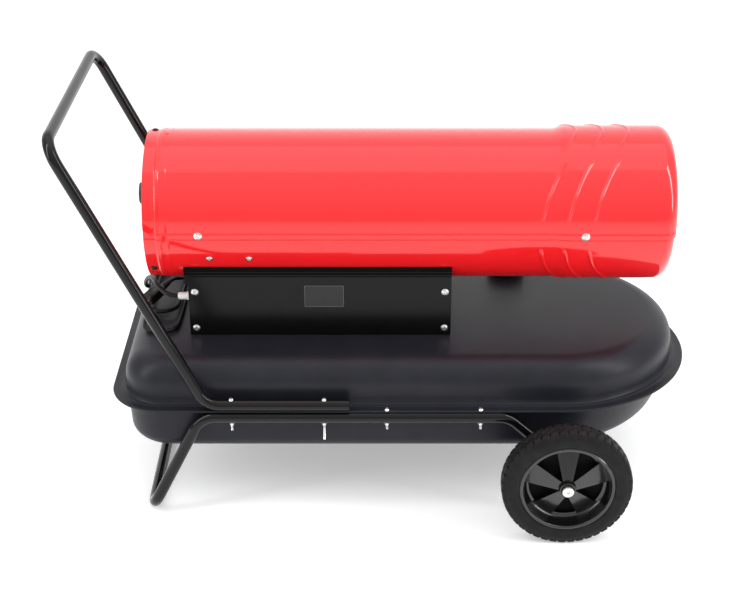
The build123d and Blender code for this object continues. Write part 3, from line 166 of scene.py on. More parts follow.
def eased(node, width, material, body):
    """A copy of a CAD node, merged, its flat faces rejoined and its edges rounded by width."""
    mesh = nodes[node].data.copy()
    work = bmesh.new()
    work.from_mesh(mesh)
    bmesh.ops.remove_doubles(work, verts=work.verts, dist=2e-6)
    bmesh.ops.dissolve_limit(work, angle_limit=radians(1.0), verts=work.verts, edges=work.edges)
    work.to_mesh(mesh)
    work.free()
    mesh.shade_smooth()
    mesh.set_sharp_from_angle(angle=radians(40))
    mesh.materials.clear()
    mesh.materials.append(material)
    thing = bpy.data.objects.new("eased_" + node, mesh)
    scene.collection.objects.link(thing)
    round_edges(thing, width, 40)
    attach(thing, body)
    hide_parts(node)


# ---------------------------------------------------------------- finishes
def finish(name, colour, rough, metal=0.0, coat=0.0, coat_rough=0.06, fleck=0.0, fleck_scale=40.0,
           rough_spread=0.0, grain=0.0, grain_scale=900.0, wave=0.0, wave_scale=7.0,
           transmission=0.0, alpha=1.0, shine=0.5, coat_ior=1.5, dust=None):
    """Base colour mottled by noise, roughness spread by a second noise, and a bump of a fine grain
    and a slow wave. dust is (colour, scale, amount): a patchy film laid over the base colour."""
    mat = bpy.data.materials.new(name)
    mat.use_nodes = True
    tree = mat.node_tree
    tree.nodes.clear()
    add = tree.nodes.new
    link = tree.links.new
    out = add("ShaderNodeOutputMaterial")
    shader = add("ShaderNodeBsdfPrincipled")
    link(shader.outputs["BSDF"], out.inputs["Surface"])
    shader.inputs["Metallic"].default_value = metal
    shader.inputs["Coat Weight"].default_value = coat
    shader.inputs["Coat Roughness"].default_value = coat_rough
    shader.inputs["Coat IOR"].default_value = coat_ior
    shader.inputs["IOR"].default_value = 1.5
    shader.inputs["Specular IOR Level"].default_value = shine
    shader.inputs["Transmission Weight"].default_value = transmission
    shader.inputs["Alpha"].default_value = alpha
    place = add("ShaderNodeTexCoord")

    def noise(scale, detail, roughness=0.55):
        node = add("ShaderNodeTexNoise")
        node.inputs["Scale"].default_value = scale
        node.inputs["Detail"].default_value = detail
        node.inputs["Roughness"].default_value = roughness
        link(place.outputs["Object"], node.inputs["Vector"])
        return node.outputs["Fac"]

    def ramp(source, low, high):
        node = add("ShaderNodeValToRGB")
        node.color_ramp.elements[0].position = 0.35
        node.color_ramp.elements[1].position = 0.65
        node.color_ramp.elements[0].color = (*low, 1)
        node.color_ramp.elements[1].color = (*high, 1)
        link(source, node.inputs["Fac"])
        return node.outputs["Color"]

    darker = tuple(c * (1 - fleck) for c in colour)
    lighter = tuple(min(1.0, c * (1 + fleck)) for c in colour)
    shade = ramp(noise(fleck_scale, 4), darker, lighter)
    if dust:
        film, scale, amount = dust
        mix = add("ShaderNodeMix")
        mix.data_type = "RGBA"
        cover = add("ShaderNodeMapRange")
        cover.inputs["From Min"].default_value = 0.48
        cover.inputs["From Max"].default_value = 0.75
        cover.inputs["To Max"].default_value = amount
        link(noise(scale, 6, 0.65), cover.inputs["Value"])
        link(cover.outputs["Result"], mix.inputs["Factor"])
        link(shade, mix.inputs["A"])
        mix.inputs["B"].default_value = (*film, 1)
        shade = mix.outputs["Result"]
    link(shade, shader.inputs["Base Color"])
    spread = add("ShaderNodeMapRange")
    spread.inputs["To Min"].default_value = max(0.02, rough - rough_spread)
    spread.inputs["To Max"].default_value = min(1.0, rough + rough_spread)
    link(noise(fleck_scale * 0.6, 3), spread.inputs["Value"])
    link(spread.outputs["Result"], shader.inputs["Roughness"])
    fine = add("ShaderNodeBump")
    fine.inputs["Strength"].default_value = 1.0
    fine.inputs["Distance"].default_value = grain * MM
    link(noise(grain_scale, 2), fine.inputs["Height"])
    slow = add("ShaderNodeBump")
    slow.inputs["Strength"].default_value = 1.0
    slow.inputs["Distance"].default_value = wave * MM
    link(noise(wave_scale, 1, 0.4), slow.inputs["Height"])
    link(slow.outputs["Normal"], fine.inputs["Normal"])
    link(fine.outputs["Normal"], shader.inputs["Normal"])
    if coat:
        link(slow.outputs["Normal"], shader.inputs["Coat Normal"])
    return mat


red_enamel = finish("red_enamel", (0.96, 0.011, 0.015), 0.38, coat=0.9, coat_rough=0.07, coat_ior=1.58,
                    fleck=0.03, fleck_scale=6, shine=0.12, grain=0.01, grain_scale=700, wave=0.7,
                    wave_scale=5.5)
tank_paint = finish("tank_paint", (0.0135, 0.014, 0.0195), 0.38, fleck=0.10, fleck_scale=25, shine=0.23,
                    rough_spread=0.05, grain=0.05, grain_scale=1100, wave=1.2, wave_scale=5)
tube_enamel = finish("tube_enamel", (0.003, 0.003, 0.0035), 0.12, coat=0.3, fleck=0.1, shine=0.15,
                     grain=0.004, grain_scale=600, wave=0.05, wave_scale=30)
box_paint = finish("box_paint", (0.003, 0.003, 0.003), 0.24, fleck=0.08, rough_spread=0.03, shine=0.19,
                   grain=0.01, grain_scale=1500, wave=0.3, wave_scale=6)
# Near-black and almost without sheen: the rail's black paint darkened into painted shade, used on the rail
# strips and the recess under them.
rail_paint_and_shade = finish("rail_paint_and_shade", (0.002, 0.002, 0.002), 0.5, fleck=0.08, grain=0.01, shine=0.05)
zinc = finish("zinc", (0.72, 0.71, 0.69), 0.26, metal=1.0, fleck=0.08, fleck_scale=220,
              rough_spread=0.08, grain=0.01, grain_scale=900)
black_oxide = finish("black_oxide", (0.012, 0.012, 0.013), 0.38, metal=0.3, fleck=0.2, grain=0.02)
galvanised = finish("galvanised", (0.56, 0.57, 0.58), 0.35, metal=1.0, fleck=0.16, fleck_scale=120,
                    rough_spread=0.12, grain=0.02, grain_scale=400)
heat_steel = finish("heat_steel", (0.42, 0.37, 0.33), 0.40, metal=1.0, fleck=0.25, fleck_scale=22,
                    rough_spread=0.12, grain=0.03, grain_scale=500,
                    dust=((0.10, 0.075, 0.06), 14, 0.6))
cast_alloy = finish("cast_alloy", (0.55, 0.55, 0.56), 0.48, metal=1.0, fleck=0.12, fleck_scale=150,
                    grain=0.08, grain_scale=700)
brass = finish("brass", (0.72, 0.50, 0.20), 0.25, metal=1.0, fleck=0.08, grain=0.01)
tyre_rubber = finish("tyre_rubber", (0.008, 0.008, 0.0085), 0.50, fleck=0.18, fleck_scale=60, shine=0.16,
                     rough_spread=0.08, grain=0.04, grain_scale=800,
                     dust=((0.035, 0.033, 0.03), 90, 0.25))
rim_plastic = finish("rim_plastic", (0.005, 0.005, 0.0055), 0.26, coat=0.9, coat_rough=0.16, fleck=0.08,
                     shine=0.3, grain=0.012, grain_scale=900)
brown_plastic = finish("brown_plastic", (0.060, 0.045, 0.040), 0.42, fleck=0.1, grain=0.02)
shadow_plastic = finish("shadow_plastic", (0.004, 0.004, 0.004), 0.7, fleck=0.1, grain=0.03, shine=0.15)
black_plastic = finish("black_plastic", (0.014, 0.014, 0.015), 0.45, fleck=0.12, grain=0.03, shine=0.35,
                       grain_scale=1400)
white_nylon = finish("white_nylon", (0.80, 0.80, 0.78), 0.42, fleck=0.03, grain=0.01)
clear_plastic = finish("clear_plastic", (0.85, 0.88, 0.90), 0.08, transmission=0.9, alpha=0.55, fleck=0.02)
black_rubber = finish("black_rubber", (0.011, 0.011, 0.012), 0.50, fleck=0.15, grain=0.02, shine=0.3,
                      grain_scale=1200)
lead_rubber = finish("lead_rubber", (0.009, 0.009, 0.0095), 0.40, fleck=0.15, fleck_scale=80, shine=0.18,
                     rough_spread=0.08, grain=0.02, grain_scale=1500)
board_green = finish("board_green", (0.02, 0.16, 0.06), 0.35, fleck=0.3, fleck_scale=300)
signal_red = finish("signal_red", (0.62, 0.02, 0.02), 0.32, fleck=0.05, grain=0.01)
dial_white = finish("dial_white", (0.78, 0.78, 0.75), 0.40, fleck=0.02)
label_film = finish("label_film", (0.010, 0.010, 0.011), 0.22, fleck=0.06, grain=0.004, shine=0.35)
label_edge = finish("label_edge", (0.13, 0.13, 0.13), 0.35, fleck=0.04)


# ---------------------------------------------------------------- camera
# Place, tilt and lens are fitted to the photograph.
camera_data = bpy.data.cameras.new("camera")
camera = bpy.data.objects.new("camera", camera_data)
scene.collection.objects.link(camera)
camera.location = (-0.02275, -2.26813, 1.41521)
camera.rotation_euler = (radians(63.187), 0, 0)
camera_data.sensor_width = 36.0
camera_data.lens = 75.28
scene.camera = camera


# ---------------------------------------------------------------- mains lead
HANK_X = -362.0
HANK_LOW = TANK_TOP_Z + 3.8
HANK_HIGH = HANK_LOW + 7.6
WIDE = 33.0
TIGHT = 25.4
PLUG_AT = (-377.5, -2.2, HANK_HIGH + 12.3)
PLUG_TURN = -22.0


def fold(x_from, x_to, y, z, way):
    """Six control points of a half turn, 30 degrees apart, a little outside its arc."""
    middle = (x_from + x_to) / 2
    reach = (x_from - x_to) / 2 / 0.9665
    t = np.radians(np.arange(15, 180, 30))
    return [(HANK_X + middle + reach * cos(a), y + way * abs(reach) * sin(a), z) for a in t]


def lead_route():
    """From the gland down to the tank, two and a half turns, and back up into the plug."""
    lane = HANK_X - WIDE
    route = [GLAND_TIP, (-341.5, -85, 319.5), (-361, -65, 328), (-369, -38, 325), (-379, -8, 316),
             (-390, 22, 298), (lane - 3, 46, HANK_LOW + 16), (lane, 66, HANK_LOW), (lane, 88, HANK_LOW)]
    route += fold(-WIDE, WIDE, 118, HANK_LOW, 1)
    route += fold(WIDE, -TIGHT, -63, HANK_LOW, -1)
    route += fold(-TIGHT, TIGHT, 114, HANK_LOW, 1)
    route += [(HANK_X + TIGHT, 84, HANK_LOW), (HANK_X + TIGHT, 2, HANK_HIGH)]
    route += fold(TIGHT, -TIGHT, -12, HANK_HIGH, -1)
    route += fold(-TIGHT, TIGHT, 112, HANK_HIGH, 1)
    x0, y0, top = HANK_X + TIGHT, 105, HANK_HIGH
    route += [(x0, y0 - 15, top), (x0 - 6, y0 - 31, top + 6), plug_spot(67), plug_spot(51)]
    return np.array(route) * MM


def plug_spot(reach):
    """Point on the plug's axis, this far from its middle toward its cord."""
    t = radians(-PLUG_TURN)
    return PLUG_AT[0] + reach * sin(t), PLUG_AT[1] + reach * cos(t), PLUG_AT[2]


def mains_lead(plug_pieces):
    """Round cable: a quadratic curve led by the route's control points, with a 7 mm round section."""
    points = lead_route()
    data = bpy.data.curves.new("mains_lead", "CURVE")
    data.dimensions = "3D"
    spline = data.splines.new("NURBS")
    spline.points.add(len(points) - 1)
    flat = np.column_stack([points, np.ones(len(points))])
    spline.points.foreach_set("co", flat.ravel())
    spline.order_u = 3
    spline.use_endpoint_u = True
    spline.resolution_u = 10
    data.bevel_depth = 3.5 * MM
    data.bevel_resolution = 6
    data.use_fill_caps = True
    data.materials.append(lead_rubber)
    lead = bpy.data.objects.new("mains_lead", data)
    scene.collection.objects.link(lead)
    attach(lead, "chassis")
    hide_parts("cord_lead", "cord_hank")


def plug():
    """Moulded body: a rounded rectangle section carried along Y, then a ribbed, tapering relief; the
    whole is turned about Z and set on the coil."""
    rear, shoulder, front = 51.0, 23.0, -23.0
    stations = np.array([front, front + 1, front + 4, front + 9, shoulder - 14, shoulder - 8, shoulder - 3,
                         shoulder, shoulder + 2])
    wide = np.array([8.6, 9.4, 9.9, 10, 10, 9.8, 9.0, 7.4, 6.2])
    high = np.array([7.3, 8.0, 8.4, 8.5, 8.5, 8.4, 8.0, 7.0, 6.0])
    t = np.arange(40) * 2 * pi / 40
    bulge = 2.0 / 6.0
    sx = np.sign(np.cos(t)) * np.abs(np.cos(t)) ** bulge
    sz = np.sign(np.sin(t)) * np.abs(np.sin(t)) ** bulge
    body = np.stack([wide[:, None] * sx, np.repeat(stations[:, None], 40, 1), high[:, None] * sz], -1)
    first = np.zeros((1, 40, 3)) + [0, front, 0]
    last = np.zeros((1, 40, 3)) + [0, shoulder + 2, 0]
    body = np.concatenate([first, body, last])
    steps = np.linspace(0, 1, 29)
    taper = 7.0 - 2.6 * steps
    ribs = np.where((np.arange(29) // 2) % 2 == 0, 0.0, -0.9) * (steps > 0.08) * (steps < 0.95)
    ribbed = list(zip(shoulder + steps * (rear - shoulder), taper + ribs))
    relief = [(shoulder - 2, 0.0)] + ribbed + [(rear, 3.4), (rear - 3, 3.4), (rear - 3, 0.0)]
    parts = [sheet_part(body, wrap_cols=True), lathe(relief, (0, 0, 0), "Y", 32)]
    parts += [slab((x - 0.5, front + 5, 7.9), (x + 0.5, shoulder - 10, 8.8)) for x in (-6, -3, 3, 6)]
    turn = turn_about("Z", PLUG_TURN)
    return piece("plug_moulding", [moved(part, turn, PLUG_AT) for part in parts], black_plastic,
                 replaces=["plug_body"], sharp=50)


mains_lead([plug(), nodes["plug_pins"]])

# Nylon gland: a wide collar against the box, and a round nose with a short bore that holds the lead.
GLAND = [(-308, 0), (-308, 7.0), (-311, 7.0), (-311.6, 6.4), (-312, 5.9), (-321, 5.8), (-324, 5.5),
         (-325.6, 4.8), (-326, 3.6), (-322, 3.55), (-322, 0)]
piece("gland_body", [lathe(GLAND, (0, *GLAND_TIP[1:]), "X", 36)], white_nylon, replaces=["cable_gland"],
      sharp=30)


# ---------------------------------------------------------------- barrel
def smooth_step(x, edge, width):
    """Rises from zero to one over this width round the edge, as three squares less two cubes."""
    t = np.clip((x - edge) / width + 0.5, 0, 1)
    return t * t * (3 - 2 * t)


def ridge(distance, half_width):
    """Rounded bead: one at its middle, falling to zero at half_width."""
    t = np.clip(np.abs(distance) / half_width, 0, 1)
    return (1 - t * t) ** 2


def lip_stations(front, count):
    """Where the rolled lip is cut: distance along X and drop in radius, over a quarter circle."""
    a = np.linspace(0, pi / 2, count)
    return front - LIP_R + LIP_R * np.sin(a), LIP_R * (1 - np.cos(a))


# Fine beads at the rear end: place along X, height and half width.
REAR_BEADS = ((-350.0, 0.9, 2.2), (-344.5, 0.8, 2.4), (-333.0, 0.45, 2.6))


def barrel_radius(x, angle, upper):
    """Radius along the barrel: a smaller collar, the rear beads, and the swelled front, which stands out
    a little more over the top."""
    collar = -1.5 * (1 - smooth_step(x, -349.5, 3.0))
    beads = sum(height * ridge(x - at, half) for at, height, half in REAR_BEADS)
    top = TOP_SWELL * np.clip(np.cos(np.radians(angle)), 0, 1) ** 2
    front = (SWELL + top) * smooth_step(x, SWELL_X, 20.0) * (1.0 if upper else 0.85)
    return BARREL_R + collar + beads * (1.0 if upper else 0.8) + front


# Pressed beads at the front: X at both ends of each main and low bead and at the crown of each top bead,
# and the angles from the top between which they run.
MAIN_BEADS = ((278.0, 238.9), (317.2, 278.2), (356.6, 317.6))
MAIN_SPAN = (34.6, 80.4)
LOW_BEADS = ((238.8, 275.9), (275.0, 317.0), (312.0, 357.5))
LOW_SPAN = (105.0, 151.0)
TOP_BEADS = (296.0, 337.0, 377.0)
TOP_REACH = 27.0


def bead_field(x, angle):
    """Height of the pressed beads at a distance along X and an angle from the top, in degrees.

    On a main or a low bead X runs as a quadratic in the angle from one end of its span to the other. A
    top bead is an arch over the top, X falling with the square of the angle. Across a bead the distance
    along X is shortened by the cosine of the bead's slant."""
    a = np.abs(angle)
    a = np.minimum(a, 360 - a)
    height = np.zeros_like(x)

    def bead(line, t, high, half_width, slant):
        """Ridge along the line, fading out at both ends of t, which runs from 0 to 1."""
        fade = np.clip(t / 0.07, 0, 1) * np.clip((1 - t) / 0.07, 0, 1)
        return high * ridge((x - line) * slant, half_width) * fade

    for top_x, low_x in MAIN_BEADS:
        t = (MAIN_SPAN[1] - a) / (MAIN_SPAN[1] - MAIN_SPAN[0])
        line = low_x + (top_x - low_x) * (0.484 * t + 0.516 * t * t)
        height = np.maximum(height, bead(line, t, 1.9, 2.4, 0.84))
    for near_x, low_x in LOW_BEADS:
        t = (a - LOW_SPAN[0]) / (LOW_SPAN[1] - LOW_SPAN[0])
        line = near_x + (low_x - near_x) * (0.30 * t + 0.70 * t * t)
        height = np.maximum(height, bead(line, t, 1.5, 2.5, 0.84))
    for peak in TOP_BEADS:
        t = (a + TOP_REACH) / (2 * TOP_REACH)
        line = peak - 17.0 * (a / 22.0) ** 2
        height = np.maximum(height, bead(line, t, 1.7, 2.5, 0.9))
    return height


def barrel_columns(front):
    """Stations along X: close together at the rear beads and over the pressed beads."""
    rear = np.arange(REAR_X, COLLAR_END_X, 1.3)
    middle = np.linspace(COLLAR_END_X + 2, 228, 14)
    pressed = np.arange(230.5, 386, 1.15)
    nose = np.linspace(388, front - LIP_R - 0.5, 8)
    return np.concatenate([rear, middle, pressed, nose])


def shell(angles, front, upper, lift, start_x=None):
    """Sheet-metal shell as a closed skin: outer surface from rear to lip, inner surface back again.

    Radius is the barrel's profile plus the beads plus lift(x, angle). start_x gives where each angle's
    sheet begins at the rear."""
    x = barrel_columns(front)
    lip_x, drop = lip_stations(front, 9)
    x = np.concatenate([x, lip_x])
    drop = np.concatenate([np.zeros(len(x) - len(lip_x)), drop])
    xx, aa = np.meshgrid(x, angles, indexing="ij")
    if start_x is not None:
        begin = start_x(aa)
        share = np.clip((COLLAR_END_X - xx) / (COLLAR_END_X - REAR_X), 0, 1)
        xx = xx + share * (begin - REAR_X)
    outer = barrel_radius(xx, aa, upper) - drop[:, None] + lift(xx, aa)
    outer = outer + bead_field(xx, aa) * (drop[:, None] < 0.5)
    t = np.radians(aa)

    def points(radius, shift):
        return np.stack([xx + shift, -radius * np.sin(t), BARREL_Z + radius * np.cos(t)], -1)

    tilt = np.clip(drop / LIP_R, 0, 1)[:, None]
    skin = points(outer, 0.0)
    lining = points(outer - SHEET * np.sqrt(1 - tilt ** 2 * 0.75), -0.9 * tilt)
    loop = np.concatenate([skin, lining[::-1]])
    rows = len(loop)
    faces = [grid_faces(rows, len(angles), wrap_rows=True)]
    half = len(x)
    for column in (0, len(angles) - 1):
        a = np.arange(half - 1) * len(angles) + column
        b = (rows - 1 - np.arange(half - 1)) * len(angles) + column
        faces.append(np.stack([a, a + len(angles), b - len(angles), b], 1))
    return loop.reshape(-1, 3), np.concatenate(faces)


def upper_shell():
    """Upper half of the barrel, with a raised strip along each seam and a notch at the rear."""
    side = np.concatenate([np.linspace(30, 90.4, 76), [91.0, 91.4, 91.8, 92.4, 93.4, 94.6, 95.5]])
    angles = np.concatenate([-side[::-1], np.linspace(-28.5, 28.5, 40), side])

    def lift(x, a):
        return 0.9 * smooth_step(np.abs(a), 91.4, 0.9)

    def begin(a):
        return REAR_X + 16 * np.clip((np.abs(a) - 88.5) / 7.0, 0, 1) ** 0.8

    return shell(angles, UPPER_FRONT_X, True, lift, begin)


def lower_shell():
    """Lower half: its edges step in under the upper half's strips."""
    edge = np.array([86.5, 89.0, 91.5, 94.0, 95.4, 95.8, 96.4, 97.0, 98.5])
    low = np.linspace(100, 178.5, 96)
    angles = np.concatenate([edge, low, [180.0], 360 - low[::-1], 360 - edge[::-1]])

    def lift(x, a):
        near = np.minimum(a, 360 - a)
        return -1.2 * (1 - smooth_step(near, 96.1, 0.9))

    return shell(angles, LOWER_FRONT_X, False, lift)


def dimple(x, angle, radius, height):
    """Small pressed dome on the barrel: height falls with the square of the distance from its middle."""
    r = np.linspace(0, 1, 7)
    t = np.arange(20) * 2 * pi / 20
    dx = radius * r[:, None] * np.cos(t)
    dy = radius * r[:, None] * np.sin(t)
    top = np.sqrt(BARREL_R ** 2 - dy ** 2) - 0.4 + height * (1 - r[:, None] ** 2) ** 1.2
    points = np.stack([x + dx, dy, top], -1)
    under = np.broadcast_to([x, 0.0, BARREL_R - 0.9], (1, len(t), 3))
    grid = np.concatenate([points, under])
    return moved(sheet_part(grid, wrap_cols=True), turn_about("X", angle), (0, 0, BARREL_Z))


piece("upper_shell", [upper_shell(), dimple(-338, 2, 4.0, 2.2)], red_enamel,
      replaces=["barrel_upper_shell"], sharp=45)
piece("lower_shell", [lower_shell()], red_enamel, replaces=["barrel_lower_shell"],
      sharp=45)


# ---------------------------------------------------------------- tank
def plan_ring(inset, nose, tail):
    """Plan outline for each inset: a half circle in front, straight sides, round rear corners. nose and
    tail draw the two ends in further.

    All arguments are arrays of one length; the result is (length, points, 2)."""
    half = TANK_HALF - inset
    corner = np.maximum(TANK_CORNER - inset, 3.0)
    rear = TANK_REAR_X + inset + tail
    mid = TANK_FRONT_X - TANK_HALF - nose
    a = np.linspace(-pi / 2, pi / 2, 72)
    front = np.stack([mid[:, None] + half[:, None] * np.cos(a), half[:, None] * np.sin(a)], -1)
    s = np.linspace(0, 1, 26)[1:-1]
    side_x = mid[:, None] + (rear + corner - mid)[:, None] * s
    far = np.stack([side_x, np.repeat(half[:, None], len(s), 1)], -1)
    b = np.linspace(pi / 2, pi, 20)
    far_corner = np.stack([(rear + corner)[:, None] + corner[:, None] * np.cos(b),
                           (half - corner)[:, None] + corner[:, None] * np.sin(b)], -1)
    s = np.linspace(1, -1, 16)[1:-1]
    end = np.stack([np.repeat(rear[:, None], len(s), 1), (half - corner)[:, None] * s], -1)
    near_corner = far_corner[:, ::-1] * [1, -1]
    near = far[:, ::-1] * [1, -1]
    return np.concatenate([front, far, far_corner, end, near_corner, near], 1)


def plan_stack(levels):
    """Rings of the plan outline, one for each (inset, z, nose, tail), stacked into a surface."""
    levels = np.array([tuple(level) + (0.0,) * (4 - len(level)) for level in levels])
    rings = plan_ring(levels[:, 0], levels[:, 2], levels[:, 3])
    z = np.repeat(levels[:, 1][:, None], rings.shape[1], 1)
    return np.concatenate([rings, z[..., None]], -1)


def shrunk(ring, z):
    """Rings that shrink a ring to its middle at height z, to close a flat top or floor."""
    middle = np.array([ring[:, 0].mean(), 0, 0])
    rings = [np.column_stack([middle[:2] + (ring[:, :2] - middle[:2]) * s, np.full(len(ring), z)])
             for s in (0.97, 0.8, 0.45, 0.0)]
    return np.array(rings)


def arc_levels(inset, z, radius, start, end, count):
    """Levels along an arc of the wall's section: inset grows inwards, z up, angles in degrees."""
    a = np.radians(np.linspace(start, end, count))
    return [(inset - radius * cos(t), z + radius * sin(t)) for t in a]


def tank_dome():
    """Upper shell: hem, flange, a small raised line and foot curve, upright wall, broad shoulder, flat
    top; then the same way back on the inside of the sheet."""
    turn_inset = WALL_INSET + SHOULDER_R
    turn_z = TANK_TOP_Z - SHOULDER_R
    under_z = TANK_TOP_Z - TANK_SHEET
    hem = arc_levels(1.6, SEAM_Z + 0.35, 1.6, -80, 90, 8)
    flange = [(6, 189.0), (13.5, 189.0), (15.0, 189.5), (16.2, 190.3), (17.6, 190.2)]
    foot = [(18.8, 190.0), (20.0, 191.2), (21.2, 193.6), (21.9, 196.8), (WALL_INSET, 200)]
    wall = [(WALL_INSET, 206.0), (WALL_INSET, 212.0)]
    shoulder = arc_levels(turn_inset, turn_z, SHOULDER_R, 0, 90, 16)
    outside = plan_stack(hem + flange + foot + wall + shoulder)
    back = arc_levels(turn_inset, turn_z, SHOULDER_R - TANK_SHEET, 90, 0, 8)
    lining = plan_stack([(turn_inset, under_z)] + back + [(WALL_INSET + TANK_SHEET, SEAM_Z + 3),
                        (20.0, SEAM_Z + 0.2), (4.0, SEAM_Z + 0.2)])
    surface = np.concatenate([outside, shrunk(outside[-1], TANK_TOP_Z),
                              shrunk(lining[0], under_z)[::-1], lining])
    return sheet_part(surface, wrap_rows=True, wrap_cols=True)


def tank_pan():
    """Lower shell: flange, short foot, walls that lean in at both ends, a round edge and a flat floor;
    then the same way back on the inside. The ends' lean is in proportion to the depth."""
    def lean(z):
        return (SEAM_Z - z) / (SEAM_Z - PAN_BOTTOM_Z)

    def wall(inset, levels):
        return [(inset + back, z, 36 * lean(z), 7 + 5 * lean(z)) for back, z in levels]

    def turn(radius, count):
        a = np.linspace(0, pi / 2, count)
        return [(radius * (1 - cos(t)), PAN_BOTTOM_Z + PAN_EDGE_R - radius * sin(t)) for t in a]

    flange = [(0.6, SEAM_Z, 0, 0), (0.2, SEAM_Z - 0.8, 0, 0), (0.8, SEAM_Z - 1.5, 0, 0),
              (9, SEAM_Z - 1.5, 0, 4)]
    foot = [(13.4, 185.6, 0.3, 6.2), (15.2, 183.8, 1.2, 7.0), (PAN_INSET, 180.5, 3, 7.4)]
    down = wall(PAN_INSET, [(0, 165), (0, 148)] + turn(PAN_EDGE_R, 12))
    outside = plan_stack(flange + foot + down)
    up = wall(PAN_INSET + TANK_SHEET, turn(PAN_EDGE_R - TANK_SHEET, 6)[::-1] + [(0, 165)])
    inside = plan_stack(up + [(17.2, 182, 2.5, 7.4), (9, SEAM_Z - 0.1, 0, 4)])
    surface = np.concatenate([outside, shrunk(outside[-1], PAN_BOTTOM_Z),
                              shrunk(inside[0], PAN_BOTTOM_Z + TANK_SHEET)[::-1], inside])
    return sheet_part(surface, wrap_rows=True, wrap_cols=True)


piece("tank_dome", [tank_dome()], tank_paint, replaces=["tank_upper_shell"], sharp=60)
piece("tank_pan", [tank_pan()], tank_paint, replaces=["tank_lower_shell"], sharp=60)


# ---------------------------------------------------------------- wheels
BLOCKS = 44


def tread_depth(turn, across):
    """How far the tread is cut in: a zigzag groove down the middle, slanted grooves to each side, and
    rounded notches along both edges. turn is in blocks round the tyre, across runs from -1 to 1."""
    phase = turn % 1.0
    zigzag = 0.30 * (np.abs(phase * 2 - 1) * 2 - 1)
    middle = ridge(across - zigzag, 0.17)
    slant = np.abs(((turn + 0.25 * np.sign(across)) % 1.0) - 0.5)
    side = ridge(slant, 0.16) * smooth_step(np.abs(across), 0.35, 0.12)
    return 2.6 * np.clip(np.maximum(middle, side), 0, 1)


def tyre(side):
    """Section carried round the axle: bead, plain sidewall with two fine steps, shoulder, tread."""
    wall = [(70.3, -4.5), (71.5, -3.4), (72.6, -1.6), (74.5, -0.5), (79, 0.0), (84, 0.0), (88.2, -0.1),
            (89.0, -0.6), (91.6, -0.9), (92.6, -1.7), (94.6, -2.2), (96.4, -2.6)]
    wall = np.array(wall)
    tread = np.linspace(WHEEL_FACE - 3.4, WHEEL_BACK + 3.4, 26)
    across = np.linspace(1, -1, 26)
    crown = WHEEL_R - 1.7 * np.abs(across) ** 5
    radius = np.concatenate([wall[:, 0], crown, wall[::-1, 0]])
    y = np.concatenate([WHEEL_FACE + wall[:, 1], tread, WHEEL_BACK - wall[::-1, 1]])
    turns = np.arange(BLOCKS * 11) / 11
    on_tread = np.concatenate([np.zeros(len(wall)), np.ones(26), np.zeros(len(wall))])
    spread = np.concatenate([np.full(len(wall), 1.0), across, np.full(len(wall), -1.0)])
    cut = tread_depth(turns[None, :], spread[:, None]) * on_tread[:, None]
    shoulder = np.zeros(len(radius))
    shoulder[len(wall) - 3:len(wall)] = [0.25, 0.6, 0.9]
    shoulder[-len(wall):-len(wall) + 3] = [0.9, 0.6, 0.25]
    cut = cut + shoulder[:, None] * tread_depth(turns[None, :], np.sign(spread)[:, None]) * 0.9
    t = turns * 2 * pi / BLOCKS
    r = radius[:, None] - cut
    points = np.stack([AXLE[0] + r * np.cos(t), np.repeat(side * y[:, None], len(t), 1),
                       AXLE[1] + r * np.sin(t)], -1)
    return sheet_part(points, wrap_rows=True, wrap_cols=True)


def closed_lathe(profile, side):
    """A closed section carried round the axle, on the near or the far side."""
    profile = [(side * y, r) for y, r in profile]
    points, _ = lathe(profile, (AXLE[0], 0, AXLE[1]), "Y", 96)
    return points, grid_faces(len(profile), 96, True, True)


def rim(side):
    """Rolled lip, a wall that curves like the inside of a bowl down to the spokes, a long hub with a
    raised ring, and five wedge spokes."""
    t = np.linspace(0, pi / 2, 10)
    bowl = list(zip(301.5 - 20.3 * np.sin(t), 66.8 - 9.3 * (1 - np.cos(t))))
    band = [(WHEEL_BACK + 1.5, 70), (300.0, 70), (300.4, 71.6), (301.8, 72.6), (303.4, 72.5),
            (304.4, 71.4), (304.6, 69.8), (304.0, 68.0), (303.0, 67.1)] + bowl
    band += [(279.8, 57.6), (278.5, 58.2), (277.8, 59.6), (277.6, 64.0), (WHEEL_BACK + 1.5, 65.2)]
    hub = [(220.9, 6.1), (220.9, 15), (290, 15), (297, 14.4), (300, 13.4), (304.6, 12.6), (305.6, 12.2),
           (306, 11.6), (306, 10.4), (305.4, 10.0), (304.6, 6.1)]
    parts = [closed_lathe(profile, side) for profile in (band, hub)]
    return parts + [spoke(side, angle) for angle in (90, 18, -54, -126, 162)]


def wheel_web(side):
    """Thin disc that closes the wheel near its back."""
    web = [(WHEEL_BACK + 2, 14), (WHEEL_BACK + 2, 65.6), (WHEEL_BACK + 4, 65.6), (WHEEL_BACK + 4, 14)]
    return closed_lathe(web, side)


SPOKE_FROM_R = 11.5
SPOKE_TO_R = 62.5


